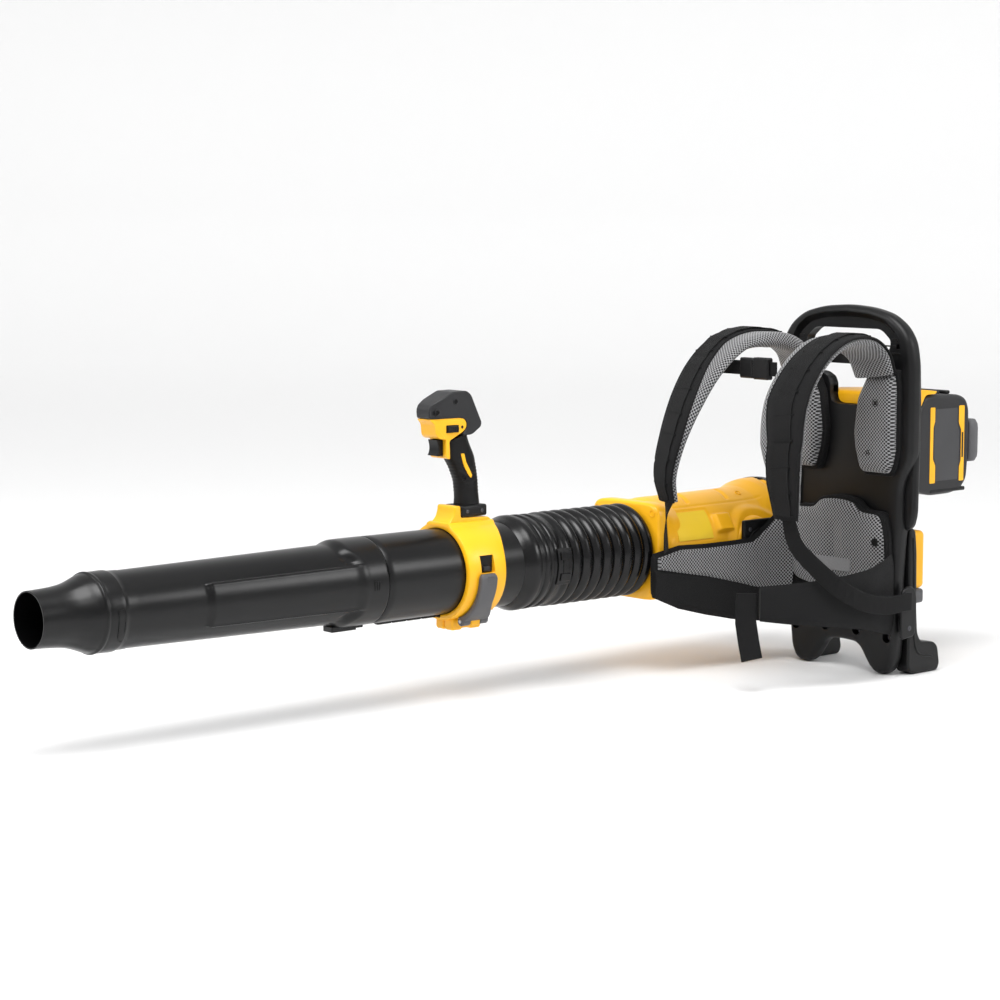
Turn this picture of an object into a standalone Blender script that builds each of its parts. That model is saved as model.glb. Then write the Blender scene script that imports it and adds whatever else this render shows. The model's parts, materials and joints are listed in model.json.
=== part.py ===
"""Battery backpack leaf blower: harness frame, axial fan unit, blower tube, control handle, battery.

Metres, +Z up. The blower stands on its frame's two lobes and two rear feet. The tube points to -Y,
the battery is at the back (+Y), and the tube hangs on the wearer's right, at -X.
Pieces are placed from the harness frame's own centre line, and one empty puts that point where the
whole blower's box is centred on the origin.
"""
import math

import bmesh
import bpy
from mathutils import Matrix, Vector

# ---------------------------------------------------------------- driving dimensions
GAP = 0.0003                 # clearance between pieces that touch
ORIGIN = (0.0779, 0.4745)    # the harness centre line, seen from the whole blower's box centre

FRAME_FRONT = 0.020          # front face of the harness frame's rim
FRAME_BACK = 0.045
PANEL_DEPTH = 0.007          # how far the panel lies behind the rim

AIR_X = -0.200               # the air path's axis: fan, hose and tube are coaxial
AIR_Z = 0.1775
TUBE_SEGMENTS = 32

NOZZLE_TIP = -1.229
NOZZLE_END = -1.083
FRONT_TUBE_START = -1.107
FRONT_TUBE_END = -0.7125
REAR_TUBE_START = -0.733
REAR_TUBE_END = -0.418
COLLAR_START = -0.440
HOSE_START = -0.4117
HOSE_MIDDLE = -0.331
HOSE_END = -0.2403
FLANGE_START = -0.229
FLANGE_END = -0.205
HOUSING_END = 0.050
INTAKE_END = 0.078

TUBE_RADIUS = 0.059
WALL = 0.0025
HOSE_CREST = 0.067
HOSE_VALLEY = 0.0605
HOSE_BORE = 0.0575
HOSE_RINGS = 5               # convolutions in each half of the hose
HOUSING_RADIUS = 0.0735
FLANGE_HALF = 0.071

FAN_RADIUS = 0.066
HUB_RADIUS = 0.030
FAN_BLADES = 9
STATOR_VANES = 7
SHAFT_RADIUS = 0.004

CLAMP_FRONT = -0.5815
CLAMP_BACK = -0.5147
CLAMP_RADIUS = 0.0675
CLAMP_BORE = 0.0596

BATTERY_HALF_WIDTH = 0.044
BATTERY_FRONT = 0.1415
BATTERY_REAR = 0.255
BATTERY_BOTTOM = 0.252
CONTROLLER_HALF = 0.080
CONTROLLER_BACK = 0.1140

STRAP_THICKNESS = 0.012
PAD_THICKNESS = 0.021
WEB_WIDTH = 0.026
WEB_THICKNESS = 0.0025

# colour, roughness, metallic
BLACK = ((0.018, 0.018, 0.019, 1.0), 0.45, 0.0)
DARK = ((0.045, 0.046, 0.049, 1.0), 0.5, 0.0)
YELLOW = ((0.90, 0.52, 0.03, 1.0), 0.38, 0.0)
GREY = ((0.16, 0.165, 0.17, 1.0), 0.5, 0.0)
MESH_GREY = ((0.22, 0.22, 0.23, 1.0), 0.9, 0.0)
WEBBING = ((0.014, 0.014, 0.015, 1.0), 0.85, 0.0)
STEEL = ((0.45, 0.45, 0.46, 1.0), 0.3, 1.0)
COPPER = ((0.6, 0.27, 0.12, 1.0), 0.4, 1.0)
BOARD = ((0.02, 0.16, 0.05, 1.0), 0.6, 0.0)


# ---------------------------------------------------------------- helpers
def clear_scene():
    for obj in list(bpy.data.objects):
        bpy.data.objects.remove(obj, do_unlink=True)


def finish(name, bm, look, smooth=40.0):
    """Turn a bmesh into a named object with its own material."""
    bmesh.ops.recalc_face_normals(bm, faces=bm.faces)
    mesh = bpy.data.meshes.new(name)
    bm.to_mesh(mesh)
    bm.free()
    mesh.shade_smooth()
    mesh.set_sharp_from_angle(angle=math.radians(smooth))
    obj = bpy.data.objects.new(name, mesh)
    bpy.context.scene.collection.objects.link(obj)
    material = bpy.data.materials.new(name)
    material.use_nodes = True
    shader = material.node_tree.nodes["Principled BSDF"]
    shader.inputs["Base Color"].default_value = look[0]
    shader.inputs["Roughness"].default_value = look[1]
    shader.inputs["Metallic"].default_value = look[2]
    mesh.materials.append(material)
    return obj


def bevel(obj, width, segments=1, angle=35.0):
    modifier = obj.modifiers.new("Bevel", "BEVEL")
    modifier.width = width
    modifier.segments = segments
    modifier.limit_method = "ANGLE"
    modifier.angle_limit = math.radians(angle)
    return obj


def as_cutter(obj):
    obj.display_type = "WIRE"
    obj.hide_render = True
    return obj


def combine(obj, other, operation):
    modifier = obj.modifiers.new(operation.title(), "BOOLEAN")
    modifier.operation = operation
    modifier.object = as_cutter(other)
    modifier.solver = "EXACT"
    return obj


def cut(obj, cutter):
    return combine(obj, cutter, "DIFFERENCE")


def join(obj, other):
    return combine(obj, other, "UNION")


def loft(name, rings, look, hollow=False, smooth=40.0):
    """Skin a list of rings; hollow joins the last ring to the first, otherwise both ends are capped."""
    bm = bmesh.new()
    skins = [[bm.verts.new(point) for point in ring] for ring in rings]
    count = len(skins[0])
    pairs = list(zip(skins, skins[1:]))
    if hollow:
        pairs.append((skins[-1], skins[0]))
    for first, second in pairs:
        for i in range(count):
            j = (i + 1) % count
            bm.faces.new((first[i], first[j], second[j], second[i]))
    if not hollow:
        bm.faces.new(skins[0][::-1])
        bm.faces.new(skins[-1])
    return finish(name, bm, look, smooth)


def air_ring(y, radius, segments=TUBE_SEGMENTS, shape=None):
    """A ring round the air path's axis; shape(angle, radius) may change the radius on the way."""
    ring = []
    for i in range(segments):
        angle = 2 * math.pi * i / segments
        r = shape(angle, radius) if shape else radius
        ring.append((AIR_X + r * math.cos(angle), y, AIR_Z + r * math.sin(angle)))
    return ring


def turned(name, profile, look, segments=TUBE_SEGMENTS, hollow=True, shape=None):
    """Turn a profile of (y, radius) points round the air path's axis."""
    rings = [air_ring(y, radius, segments, shape) for y, radius in profile]
    return loft(name, rings, look, hollow)


def round_bar(name, start, end, radius, look, sides=12):
    """A solid round bar between two points."""
    start, end = Vector(start), Vector(end)
    turn = (end - start).to_track_quat("Z", "Y")
    rings = []
    for centre in (start, end):
        ring = []
        for i in range(sides):
            angle = 2 * math.pi * i / sides
            offset = Vector((radius * math.cos(angle), radius * math.sin(angle), 0.0))
            ring.append(centre + turn @ offset)
        rings.append(ring)
    return loft(name, rings, look)


def sleeve(name, start, end, inner, outer, look, sides=24):
    """A hollow round sleeve between two points."""
    start, end = Vector(start), Vector(end)
    turn = (end - start).to_track_quat("Z", "Y")
    rings = []
    for centre, radius in ((start, inner), (start, outer), (end, outer), (end, inner)):
        ring = []
        for i in range(sides):
            angle = 2 * math.pi * i / sides
            offset = Vector((radius * math.cos(angle), radius * math.sin(angle), 0.0))
            ring.append(centre + turn @ offset)
        rings.append(ring)
    return loft(name, rings, look, hollow=True)


def block(name, low, high, look, edge=0.0, segments=1):
    """A box between two corners, with bevelled edges."""
    (x0, y0, z0), (x1, y1, z1) = low, high
    rings = [
        [(x0, y0, z), (x1, y0, z), (x1, y1, z), (x0, y1, z)]
        for z in (z0, z1)
    ]
    obj = loft(name, rings, look)
    if edge:
        bevel(obj, edge, segments)
    return obj


def front_plate(name, outline, y0, y1, look):
    """Extrude an (x, z) outline from y0 to y1."""
    return loft(name, [[(x, y, z) for x, z in outline] for y in (y0, y1)], look)


def side_plate(name, outline, x0, x1, look):
    """Extrude a (y, z) outline from x0 to x1."""
    return loft(name, [[(x, y, z) for y, z in outline] for x in (x0, x1)], look)


def mirrored(half):
    """Close a right-hand outline with its mirror image."""
    left = [(-x, z) for x, z in reversed(half) if x > 0]
    return half + left


def smooth_path(points, steps):
    """Catmull-Rom curve through hand-placed points."""
    points = [Vector(p) for p in points]
    padded = [2 * points[0] - points[1]] + points + [2 * points[-1] - points[-2]]
    path = []
    for i in range(len(points) - 1):
        a, b, c, d = padded[i:i + 4]
        for k in range(steps):
            t = k / steps
            path.append(0.5 * ((2 * b) + (c - a) * t + (2 * a - 5 * b + 4 * c - d) * t * t
                               + (3 * b - a - 3 * c + d) * t ** 3))
    path.append(points[-1])
    return path


def band(name, points, widths, thickness, across, look, steps=3):
    """A flat band along a path; across is its width direction at the start and at the end."""
    path = smooth_path(points, steps)
    across = [Vector(v).normalized() for v in across]
    rings = []
    for i, centre in enumerate(path):
        t = i / (len(path) - 1)
        ahead = (path[min(i + 1, len(path) - 1)] - path[max(i - 1, 0)]).normalized()
        where = t * (len(across) - 1)
        k = min(int(where), len(across) - 2)
        side = across[k].lerp(across[k + 1], where - k)
        side = (side - ahead * side.dot(ahead)).normalized()
        up = ahead.cross(side)
        where = t * (len(widths) - 1)
        k = min(int(where), len(widths) - 2)
        half = 0.5 * (widths[k] + (widths[k + 1] - widths[k]) * (where - k))
        edge = min(0.5 * thickness, 0.15 * half)
        thick = 0.5 * thickness
        rings.append([
            centre + side * (half - edge) + up * thick,
            centre - side * (half - edge) + up * thick,
            centre - side * half,
            centre - side * (half - edge) - up * thick,
            centre + side * (half - edge) - up * thick,
            centre + side * half,
        ])
    return loft(name, rings, look)


# ---------------------------------------------------------------- harness frame
FRAME_OUTLINE = [
    (0.000, 0.533), (0.045, 0.530), (0.082, 0.521), (0.106, 0.505), (0.121, 0.484), (0.127, 0.455),
    (0.122, 0.400), (0.117, 0.320), (0.1130, 0.240), (0.106, 0.190), (0.103, 0.140), (0.103, 0.060),
    (0.099, 0.022), (0.091, 0.006), (0.080, 0.000), (0.066, 0.000), (0.054, 0.008), (0.036, 0.034),
    (0.026, 0.041), (0.000, 0.043),
]
PANEL_OUTLINE = [
    (0.000, 0.517), (0.042, 0.514), (0.074, 0.506), (0.094, 0.492), (0.106, 0.475), (0.110, 0.452),
    (0.106, 0.400), (0.101, 0.320), (0.098, 0.240), (0.092, 0.190), (0.088, 0.140), (0.088, 0.076),
    (0.000, 0.076),
]
HANDLE_OPENING = [
    (0.000, 0.499), (0.062, 0.499), (0.076, 0.491), (0.080, 0.484), (0.080, 0.474), (0.072, 0.466),
    (0.000, 0.466),
]
UPPER_OPENING = [
    (0.000, 0.447), (0.084, 0.447), (0.089, 0.443), (0.088, 0.437), (0.050, 0.433), (0.038, 0.427),
    (0.033, 0.417), (0.033, 0.400), (0.030, 0.391), (0.022, 0.388), (0.000, 0.388),
]


def build_frame():
    frame = front_plate("back_frame", mirrored(FRAME_OUTLINE), FRAME_FRONT, FRAME_BACK, BLACK)
    bevel(frame, 0.005, 2)
    recess = front_plate("cut_panel", mirrored(PANEL_OUTLINE), FRAME_FRONT - 0.01,
                         FRAME_FRONT + PANEL_DEPTH, BLACK)
    cut(frame, recess)
    for name, outline in (("cut_handle", HANDLE_OPENING), ("cut_upper", UPPER_OPENING)):
        cut(frame, front_plate(name, mirrored(outline), FRAME_FRONT - 0.01, FRAME_BACK + 0.01, BLACK))
    for side in (-1, 1):
        slot_low = (side * 0.097 - 0.0065, FRAME_FRONT, 0.4715)
        slot_high = (side * 0.097 + 0.0065, FRAME_BACK + 0.01, 0.4785)
        cut(frame, block("cut_slot", slot_low, slot_high, BLACK))
    for x, z in screw_places():
        cut(frame, round_bar("cut_screw", (x, FRAME_FRONT - 0.001, z), (x, FRAME_FRONT + 0.008, z),
                             0.0075, BLACK, 14))
    return frame


def screw_places():
    """The four screw recesses in the frame's foot, two over each lobe."""
    return [(side * x, z) for side in (-1, 1) for x, z in ((0.088, 0.055), (0.030, 0.060))]


def build_feet():
    """Curved legs behind the frame; each ends in a block that points back."""
    leg = [
        (FRAME_BACK + GAP, 0.215), (0.058, 0.212), (0.062, 0.180), (0.0635, 0.100), (0.066, 0.060),
        (0.074, 0.047), (0.104, 0.043), (0.112, 0.036), (0.117, 0.010), (0.112, 0.000),
        (0.060, 0.000), (0.050, 0.004), (FRAME_BACK + GAP, 0.012),
    ]
    for side, name in ((1, "rear_foot_right"), (-1, "rear_foot_left")):
        low, high = sorted((side * 0.082, side * 0.108))
        foot = side_plate(name, leg, low, high, BLACK)
        bevel(foot, 0.003, 1)


def build_anchors():
    """Side ears that the shoulder straps' lower webbing loops through."""
    ear = [(0.014, 0.056), (0.044, 0.060), (0.047, 0.116), (0.042, 0.129), (0.030, 0.134),
           (0.018, 0.129), (0.012, 0.116)]
    for side, name in ((1, "strap_anchor_right"), (-1, "strap_anchor_left")):
        low, high = sorted((side * 0.1165, side * 0.1215))
        anchor = side_plate(name, ear, low, high, BLACK)
        bevel(anchor, 0.0015, 1)
        inner, outer = sorted((side * (0.104 + GAP), side * 0.1175))
        join(anchor, block("add_root", (inner, 0.026, 0.064), (outer, 0.042, 0.086), BLACK))


# ---------------------------------------------------------------- battery, dock and controller
def build_dock():
    """The battery dock: a black body with rails and terminals, under a yellow hood."""
    block("battery_dock", (-0.042, FRAME_BACK + GAP, 0.246), (0.042, 0.112, 0.3775), BLACK, 0.006, 2)
    hood_outline = [
        (FRAME_BACK + GAP, 0.378), (0.138, 0.378), (0.150, 0.3975 + GAP), (0.172, 0.398), (0.176, 0.402),
        (0.150, 0.405), (0.062, 0.409), (FRAME_BACK + GAP, 0.406),
    ]
    hood = side_plate("dock_hood", hood_outline, -0.0455, 0.0455, YELLOW)
    bevel(hood, 0.0025, 1)
    rail_low = (-0.030, 0.1123, 0.262)
    rail_high = (0.030, 0.1245, 0.376)
    rail = block("battery_rail", rail_low, rail_high, DARK, 0.001, 1)
    for side in (-1, 1):
        inner, outer = sorted((side * 0.022, side * 0.031))
        cut(rail, block("cut_rail", (inner, 0.1122, 0.261), (outer, 0.1180, 0.377), DARK))


def build_battery():
    """The battery pack, with a slot that clears the dock's rail."""
    half = BATTERY_HALF_WIDTH
    side_outline = [
        (BATTERY_FRONT - 0.026, 0.264), (0.150, 0.255), (0.170, 0.2515), (0.215, 0.252),
        (0.238, 0.257), (0.2515, 0.271), (BATTERY_REAR, 0.304), (BATTERY_REAR, 0.372),
        (0.248, 0.388), (0.232, 0.3945), (BATTERY_FRONT + 0.037, 0.3975), (0.1515, 0.3965),
        (0.139, 0.3765), (BATTERY_FRONT - 0.026, 0.3765),
    ]
    body = side_plate("battery_pack", side_outline, -half, half, DARK)
    bevel(body, 0.005, 2)
    cut(body, block("cut_channel", (-0.0325, 0.10, 0.240), (0.0325, 0.1335, 0.3772), DARK))
    cut(body, block("cut_contacts", (-0.0190, 0.13, 0.240), (0.0190, 0.1345, 0.3772), DARK))
    return body


LATCH_PIVOT = (-0.0525, 0.0965)


def build_battery_latch():
    """A grey arm, hinged on the dock's left side, that holds the battery from behind."""
    outline = [
        (-0.0560, 0.092), (-0.0490, 0.092), (-0.0485, 0.2490), (-0.0455, 0.2578), (0.0420, 0.2578),
        (0.0455, 0.2640), (0.0440, 0.2760), (0.0340, 0.2800), (0.0100, 0.2800), (-0.0100, 0.2740),
        (-0.0400, 0.2700), (-0.0520, 0.2640), (-0.0560, 0.2470),
    ]
    rings = [[(x, y, z) for x, y in outline] for z in (0.292, 0.3555)]
    latch = loft("battery_latch", rings, GREY)
    bevel(latch, 0.0025, 1)
    x, y = LATCH_PIVOT
    round_bar("latch_pin", (x, y, 0.2880), (x, y, 0.2917), 0.004, STEEL, 12)


def build_controller():
    """The control unit's case behind the frame, in three shells, with its board."""
    half = CONTROLLER_HALF
    case = block("controller_case", (-half, FRAME_BACK + GAP, 0.0965), (half, 0.086, 0.2035), BLACK, 0.008, 2)
    cut(case, block("cut_case", (-half + 0.004, 0.051, 0.1015), (half - 0.004, 0.095, 0.1985), BLACK))
    inner = half - 0.004
    back = CONTROLLER_BACK
    cover = block("controller_cover", (-half, 0.086 + GAP, 0.1180), (half, back, 0.2035), YELLOW, 0.007, 2)
    cut(cover, block("cut_cover", (-inner, 0.080, 0.1215), (inner, back - 0.004, 0.1995), YELLOW))
    front = 0.086 + GAP
    skirt = block("controller_skirt", (-half, front, 0.0965), (half, back - 0.0015, 0.1177), GREY, 0.004, 2)
    cut(skirt, block("cut_skirt", (-inner, 0.080, 0.1015), (inner, back - 0.006, 0.1147), GREY))
    block("control_board", (-0.060, 0.058, 0.104), (0.060, 0.0596, 0.194), BOARD)


# ---------------------------------------------------------------- fan unit
def build_housing():
    """The yellow fan housing: a shell that flares to the intake at the back."""
    r = HOUSING_RADIUS
    outer = [(FLANGE_END + GAP, r - 0.004), (-0.196, r - 0.001), (-0.110, r), (-0.020, r + 0.001),
             (0.004, r + 0.004), (0.020, r + 0.0105), (0.040, r + 0.0125), (HOUSING_END, r + 0.012)]
    inner = [(HOUSING_END, r + 0.009), (0.022, r + 0.007), (0.000, 0.0705), (-0.040, 0.0690),
             (-0.120, 0.0690), (-0.175, 0.0640), (FLANGE_END + GAP, 0.0580)]
    housing = turned("fan_housing", outer + inner, YELLOW, 36)
    boss = sleeve("add_boss", (-0.150, -0.034, 0.176), (-0.1195, -0.034, 0.176), 0.030, 0.040, YELLOW, 28)
    cut(boss, turned("cut_boss", [(-0.15, 0.0001), (-0.15, 0.0712), (0.05, 0.0712), (0.05, 0.0001)], YELLOW,
                     36, hollow=False))
    join(housing, boss)
    return housing


def squared(angle, half):
    """Radius of a square with well-rounded corners."""
    power = 5.0
    c, s = abs(math.cos(angle)), abs(math.sin(angle))
    return half / (c ** power + s ** power) ** (1 / power)


def build_flange():
    rings = [
        air_ring(FLANGE_START + 0.002, FLANGE_HALF - 0.003, 36, squared),
        air_ring(FLANGE_START + 0.006, FLANGE_HALF, 36, squared),
        air_ring(FLANGE_END - 0.004, FLANGE_HALF, 36, squared),
        air_ring(FLANGE_END, FLANGE_HALF - 0.003, 36, squared),
        air_ring(FLANGE_END, 0.0585, 36),
        air_ring(FLANGE_START + 0.002, 0.0585, 36),
    ]
    loft("housing_flange", rings, YELLOW, hollow=True)


def build_intake():
    """The intake ring at the back of the housing, with a slotted guard."""
    r = HOUSING_RADIUS + 0.012
    y = HOUSING_END + GAP
    turned("intake_ring", [(y, r - 0.004), (y, r + 0.0005), (y + 0.014, r), (INTAKE_END, r - 0.006),
                           (INTAKE_END, r - 0.0095), (y + 0.012, r - 0.004)], BLACK, 36)
    y = INTAKE_END - 0.004
    rim = r - 0.0100
    guard = turned("intake_guard", [(y, 0.0001), (y, rim), (y + 0.003, rim), (y + 0.003, 0.0001)], BLACK, 32,
                   hollow=False)
    slot_count = 12
    for i in range(slot_count):
        angle = 2 * math.pi * (i + 0.5) / slot_count
        out = Vector((math.cos(angle), 0.0, math.sin(angle)))
        along = Vector((-math.sin(angle), 0.0, math.cos(angle)))
        centre = Vector((AIR_X, y, AIR_Z))
        rings = []
        for depth in (-0.004, 0.008):
            level = centre + Vector((0.0, depth, 0.0))
            rings.append([level + out * 0.022 - along * 0.003, level + out * 0.066 - along * 0.011,
                          level + out * 0.066 + along * 0.011, level + out * 0.022 + along * 0.003])
        cut(guard, loft("cut_slot", rings, BLACK))


def blade_ring(count, y0, y1, inner, outer, twist, thick, name, look):
    """Blades from a hub out to a radius, as cutters and add-ons for a Boolean union."""
    blades = []
    for i in range(count):
        angle = 2 * math.pi * i / count
        rings = []
        for radius in (inner, outer):
            ring = []
            for y, lead in ((y0, -0.5), (y1, 0.5)):
                a = angle + lead * twist
                out = Vector((math.cos(a), 0.0, math.sin(a))) * radius
                along = Vector((-math.sin(a), 0.0, math.cos(a))) * thick * 0.5
                base = Vector((AIR_X, y, AIR_Z)) + out
                ring.extend((base - along, base + along) if lead < 0 else (base + along, base - along))
            rings.append(ring)
        blades.append(loft(name, rings, look))
    return blades


def build_fan():
    """Fan, shaft and motor rotor, which turn together."""
    fan_y = -0.018
    hub = turned("fan_impeller", [(fan_y - 0.014, SHAFT_RADIUS + GAP), (fan_y - 0.014, HUB_RADIUS),
                                  (fan_y + 0.014, HUB_RADIUS - 0.004), (fan_y + 0.024, 0.014),
                                  (fan_y + 0.024, SHAFT_RADIUS + GAP)], DARK, 27)
    for blade in blade_ring(FAN_BLADES, fan_y - 0.012, fan_y + 0.012, HUB_RADIUS - 0.006, FAN_RADIUS, 0.55,
                            0.0022, "add_blade", DARK):
        join(hub, blade)
    turned("motor_shaft", [(-0.124, 0.0001), (-0.124, SHAFT_RADIUS), (0.016, SHAFT_RADIUS), (0.016, 0.0001)],
           STEEL, 16, hollow=False)
    turned("motor_rotor", [(-0.100, SHAFT_RADIUS + GAP), (-0.100, 0.0150), (-0.060, 0.0150),
                           (-0.060, SHAFT_RADIUS + GAP)], STEEL, 20)


def build_motor():
    """The motor pod with its vanes, the stator and the two bearings."""
    pod = turned("motor_pod", [(-0.158, 0.0100), (-0.150, 0.0200), (-0.130, HUB_RADIUS), (-0.040, HUB_RADIUS),
                               (-0.040, 0.0115), (-0.044, 0.0115), (-0.044, 0.0265), (-0.116, 0.0265),
                               (-0.130, 0.0110), (-0.158, 0.0060)], DARK, 28)
    root = HUB_RADIUS - 0.001
    for vane in blade_ring(STATOR_VANES, -0.105, -0.055, root, 0.0687, -0.30, 0.0025, "add_vane", DARK):
        join(pod, vane)
    turned("motor_stator", [(-0.102, 0.0156), (-0.102, 0.0262), (-0.058, 0.0262), (-0.058, 0.0156)],
           COPPER, 24)
    for name, y in (("bearing_front", -0.1180), ("bearing_rear", -0.0520)):
        turned(name, [(y - 0.0035, SHAFT_RADIUS + GAP), (y - 0.0035, 0.0105), (y + 0.0035, 0.0105),
                      (y + 0.0035, SHAFT_RADIUS + GAP)], STEEL, 20)


def build_housing_bracket():
    """The black arm that carries the fan housing on the frame's left edge."""
    arm = block("housing_bracket", (-0.1195 + GAP, -0.068, 0.136), (-0.1122, -0.003, 0.214), BLACK, 0.002, 1)
    lug_outline = [(-0.1134, 0.208), (-0.1092, 0.208), (-0.1042, 0.150), (-0.1134, 0.150)]
    join(arm, front_plate("add_arm", lug_outline, -0.012, 0.040, BLACK))
    peg = round_bar("add_peg", (-0.1480, -0.034, 0.176), (-0.112, -0.034, 0.176), 0.0290, BLACK, 28)
    cut(peg, turned("cut_peg", [(-0.15, 0.0001), (-0.15, 0.0790), (0.05, 0.0790), (0.05, 0.0001)], BLACK, 36,
                    hollow=False))
    join(arm, peg)


# ---------------------------------------------------------------- hose and tube
def hose_profile(start, end):
    """Outer crests and valleys from start to end, closed by a plain bore."""
    pitch = (end - start) / HOSE_RINGS
    outer = []
    for i in range(HOSE_RINGS):
        y = start + pitch * i
        outer.append((y, HOSE_VALLEY))
        outer.append((y + pitch * 0.5, HOSE_CREST))
    outer.append((end, HOSE_VALLEY))
    return outer + [(end, HOSE_BORE), (start, HOSE_BORE)]


def build_hose():
    ring_half = 0.0015
    turned("hose_front", hose_profile(HOSE_START, HOSE_MIDDLE - ring_half - GAP), BLACK, 28)
    turned("hose_rear", hose_profile(HOSE_MIDDLE + ring_half + GAP, HOSE_END), BLACK, 28)
    turned("hose_ring", [(HOSE_MIDDLE - ring_half, HOSE_BORE + 0.001), (HOSE_MIDDLE - ring_half, HOSE_VALLEY),
                         (HOSE_MIDDLE + ring_half, HOSE_VALLEY),
                         (HOSE_MIDDLE + ring_half, HOSE_BORE + 0.001)], STEEL, 32)
    turned("hose_rear_collar", [(HOSE_END + GAP, HOSE_BORE), (HOSE_END + GAP, HOSE_CREST),
                                (FLANGE_START + 0.002 - GAP, HOSE_CREST),
                                (FLANGE_START + 0.002 - GAP, HOSE_BORE)], BLACK, 40)
    inner = TUBE_RADIUS + GAP
    collar = turned("hose_front_collar", [(COLLAR_START, inner), (COLLAR_START, 0.0625), (-0.436, 0.0645),
                                          (-0.432, 0.0625), (-0.418, 0.0625), (-0.416, 0.0650),
                                          (HOSE_START - GAP, 0.0650), (HOSE_START - GAP, HOSE_BORE),
                                          (REAR_TUBE_END + GAP, HOSE_BORE),
                                          (REAR_TUBE_END + GAP, inner)], BLACK)
    lug_low = (AIR_X + 0.0585, -0.431, AIR_Z - 0.026)
    lug_high = (AIR_X + 0.0690, -0.419, AIR_Z + 0.020)
    lug = block("add_lug", lug_low, lug_high, BLACK, 0.001)
    cut(lug, turned("cut_lug", [(-0.45, 0.0001), (-0.45, 0.0615), (-0.40, 0.0615), (-0.40, 0.0001)], BLACK,
                    hollow=False))
    join(collar, lug)


def build_tubes():
    r = TUBE_RADIUS
    turned("rear_tube", [(REAR_TUBE_START, r - 0.0035 - WALL), (REAR_TUBE_START, r - 0.0035),
                         (FRONT_TUBE_END + GAP, r - 0.0035), (FRONT_TUBE_END + GAP, r), (-0.700, r),
                         (-0.442, r), (REAR_TUBE_END, r), (REAR_TUBE_END, r - 0.0035 - WALL)], BLACK)
    rib_low = (AIR_X - 0.004, -0.690, AIR_Z - r - 0.0040)
    rib_high = (AIR_X + 0.004, -0.445, AIR_Z - r + 0.001)
    join(bpy.data.objects["rear_tube"], block("add_rib", rib_low, rib_high, BLACK, 0.001))
    turned("front_tube", [(FRONT_TUBE_START, 0.0490 - WALL), (FRONT_TUBE_START, 0.0490), (NOZZLE_END, 0.0490),
                          (-0.775, 0.0535), (-0.762, 0.0550), (-0.750, 0.0590), (-0.742, 0.0595),
                          (FRONT_TUBE_END, 0.0590), (FRONT_TUBE_END, 0.0560), (-0.7340, 0.0560),
                          (-0.7345, 0.0530), (-0.775, 0.0535 - WALL)], BLACK)
    turned("nozzle", [(NOZZLE_TIP, 0.0340), (NOZZLE_TIP, 0.0360), (-1.185, 0.0372), (-1.170, 0.0385),
                      (-1.150, 0.0430), (-1.134, 0.0470), (-1.127, 0.0490), (-1.119, 0.0497),
                      (-1.117, 0.0485), (-1.113, 0.0485), (-1.111, 0.0515), (NOZZLE_END - 0.004, 0.0520),
                      (NOZZLE_END, 0.0510), (NOZZLE_END, 0.0490 + GAP),
                      (FRONT_TUBE_START - GAP, 0.0490 + GAP),
                      (FRONT_TUBE_START - GAP, 0.0460), (-1.134, 0.0440), (-1.170, 0.0360)], BLACK)


# ---------------------------------------------------------------- clamp and control handle
def clamp_end(angle, back):
    """Where the clamp ends along the tube: its back edge reaches furthest on top."""
    on_top = max(math.sin(angle), 0.0) ** 3
    return CLAMP_BACK + 0.0180 * on_top if back else CLAMP_FRONT


def clamp_outer(angle, radius):
    """Round, with a flat seat on top."""
    tilt = abs(angle - math.pi / 2)
    return radius / math.cos(tilt) if tilt < math.radians(20) else radius


def clamp_bore(angle, radius):
    """Round, with a groove below that clears the tube's rib."""
    return radius + 0.0052 if abs(angle - 1.5 * math.pi) < 0.17 else radius


def clamp_ring(back, inset, radius, shape):
    ring = []
    for i in range(TUBE_SEGMENTS):
        angle = 2 * math.pi * i / TUBE_SEGMENTS
        y = clamp_end(angle, back) + (-inset if back else inset)
        r = shape(angle, radius)
        ring.append((AIR_X + r * math.cos(angle), y, AIR_Z + r * math.sin(angle)))
    return ring


SEAT_HALF = 0.0190
FOOT_HALF = 0.0175
LEVER_PIVOT = (-0.1686, 0.1100)
LEVER_LENGTH = (-0.5680, -0.5220)    # along the tube at the pin
LUG_LENGTH = (-0.5530, -0.5370)


def air_bore(radius, y0, y1):
    """A plug on the air path's axis that cuts a joined shape back to the tube's round."""
    return turned("cut_bore", [(y0, 0.0001), (y0, radius), (y1, radius), (y1, 0.0001)], YELLOW, hollow=False)


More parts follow.
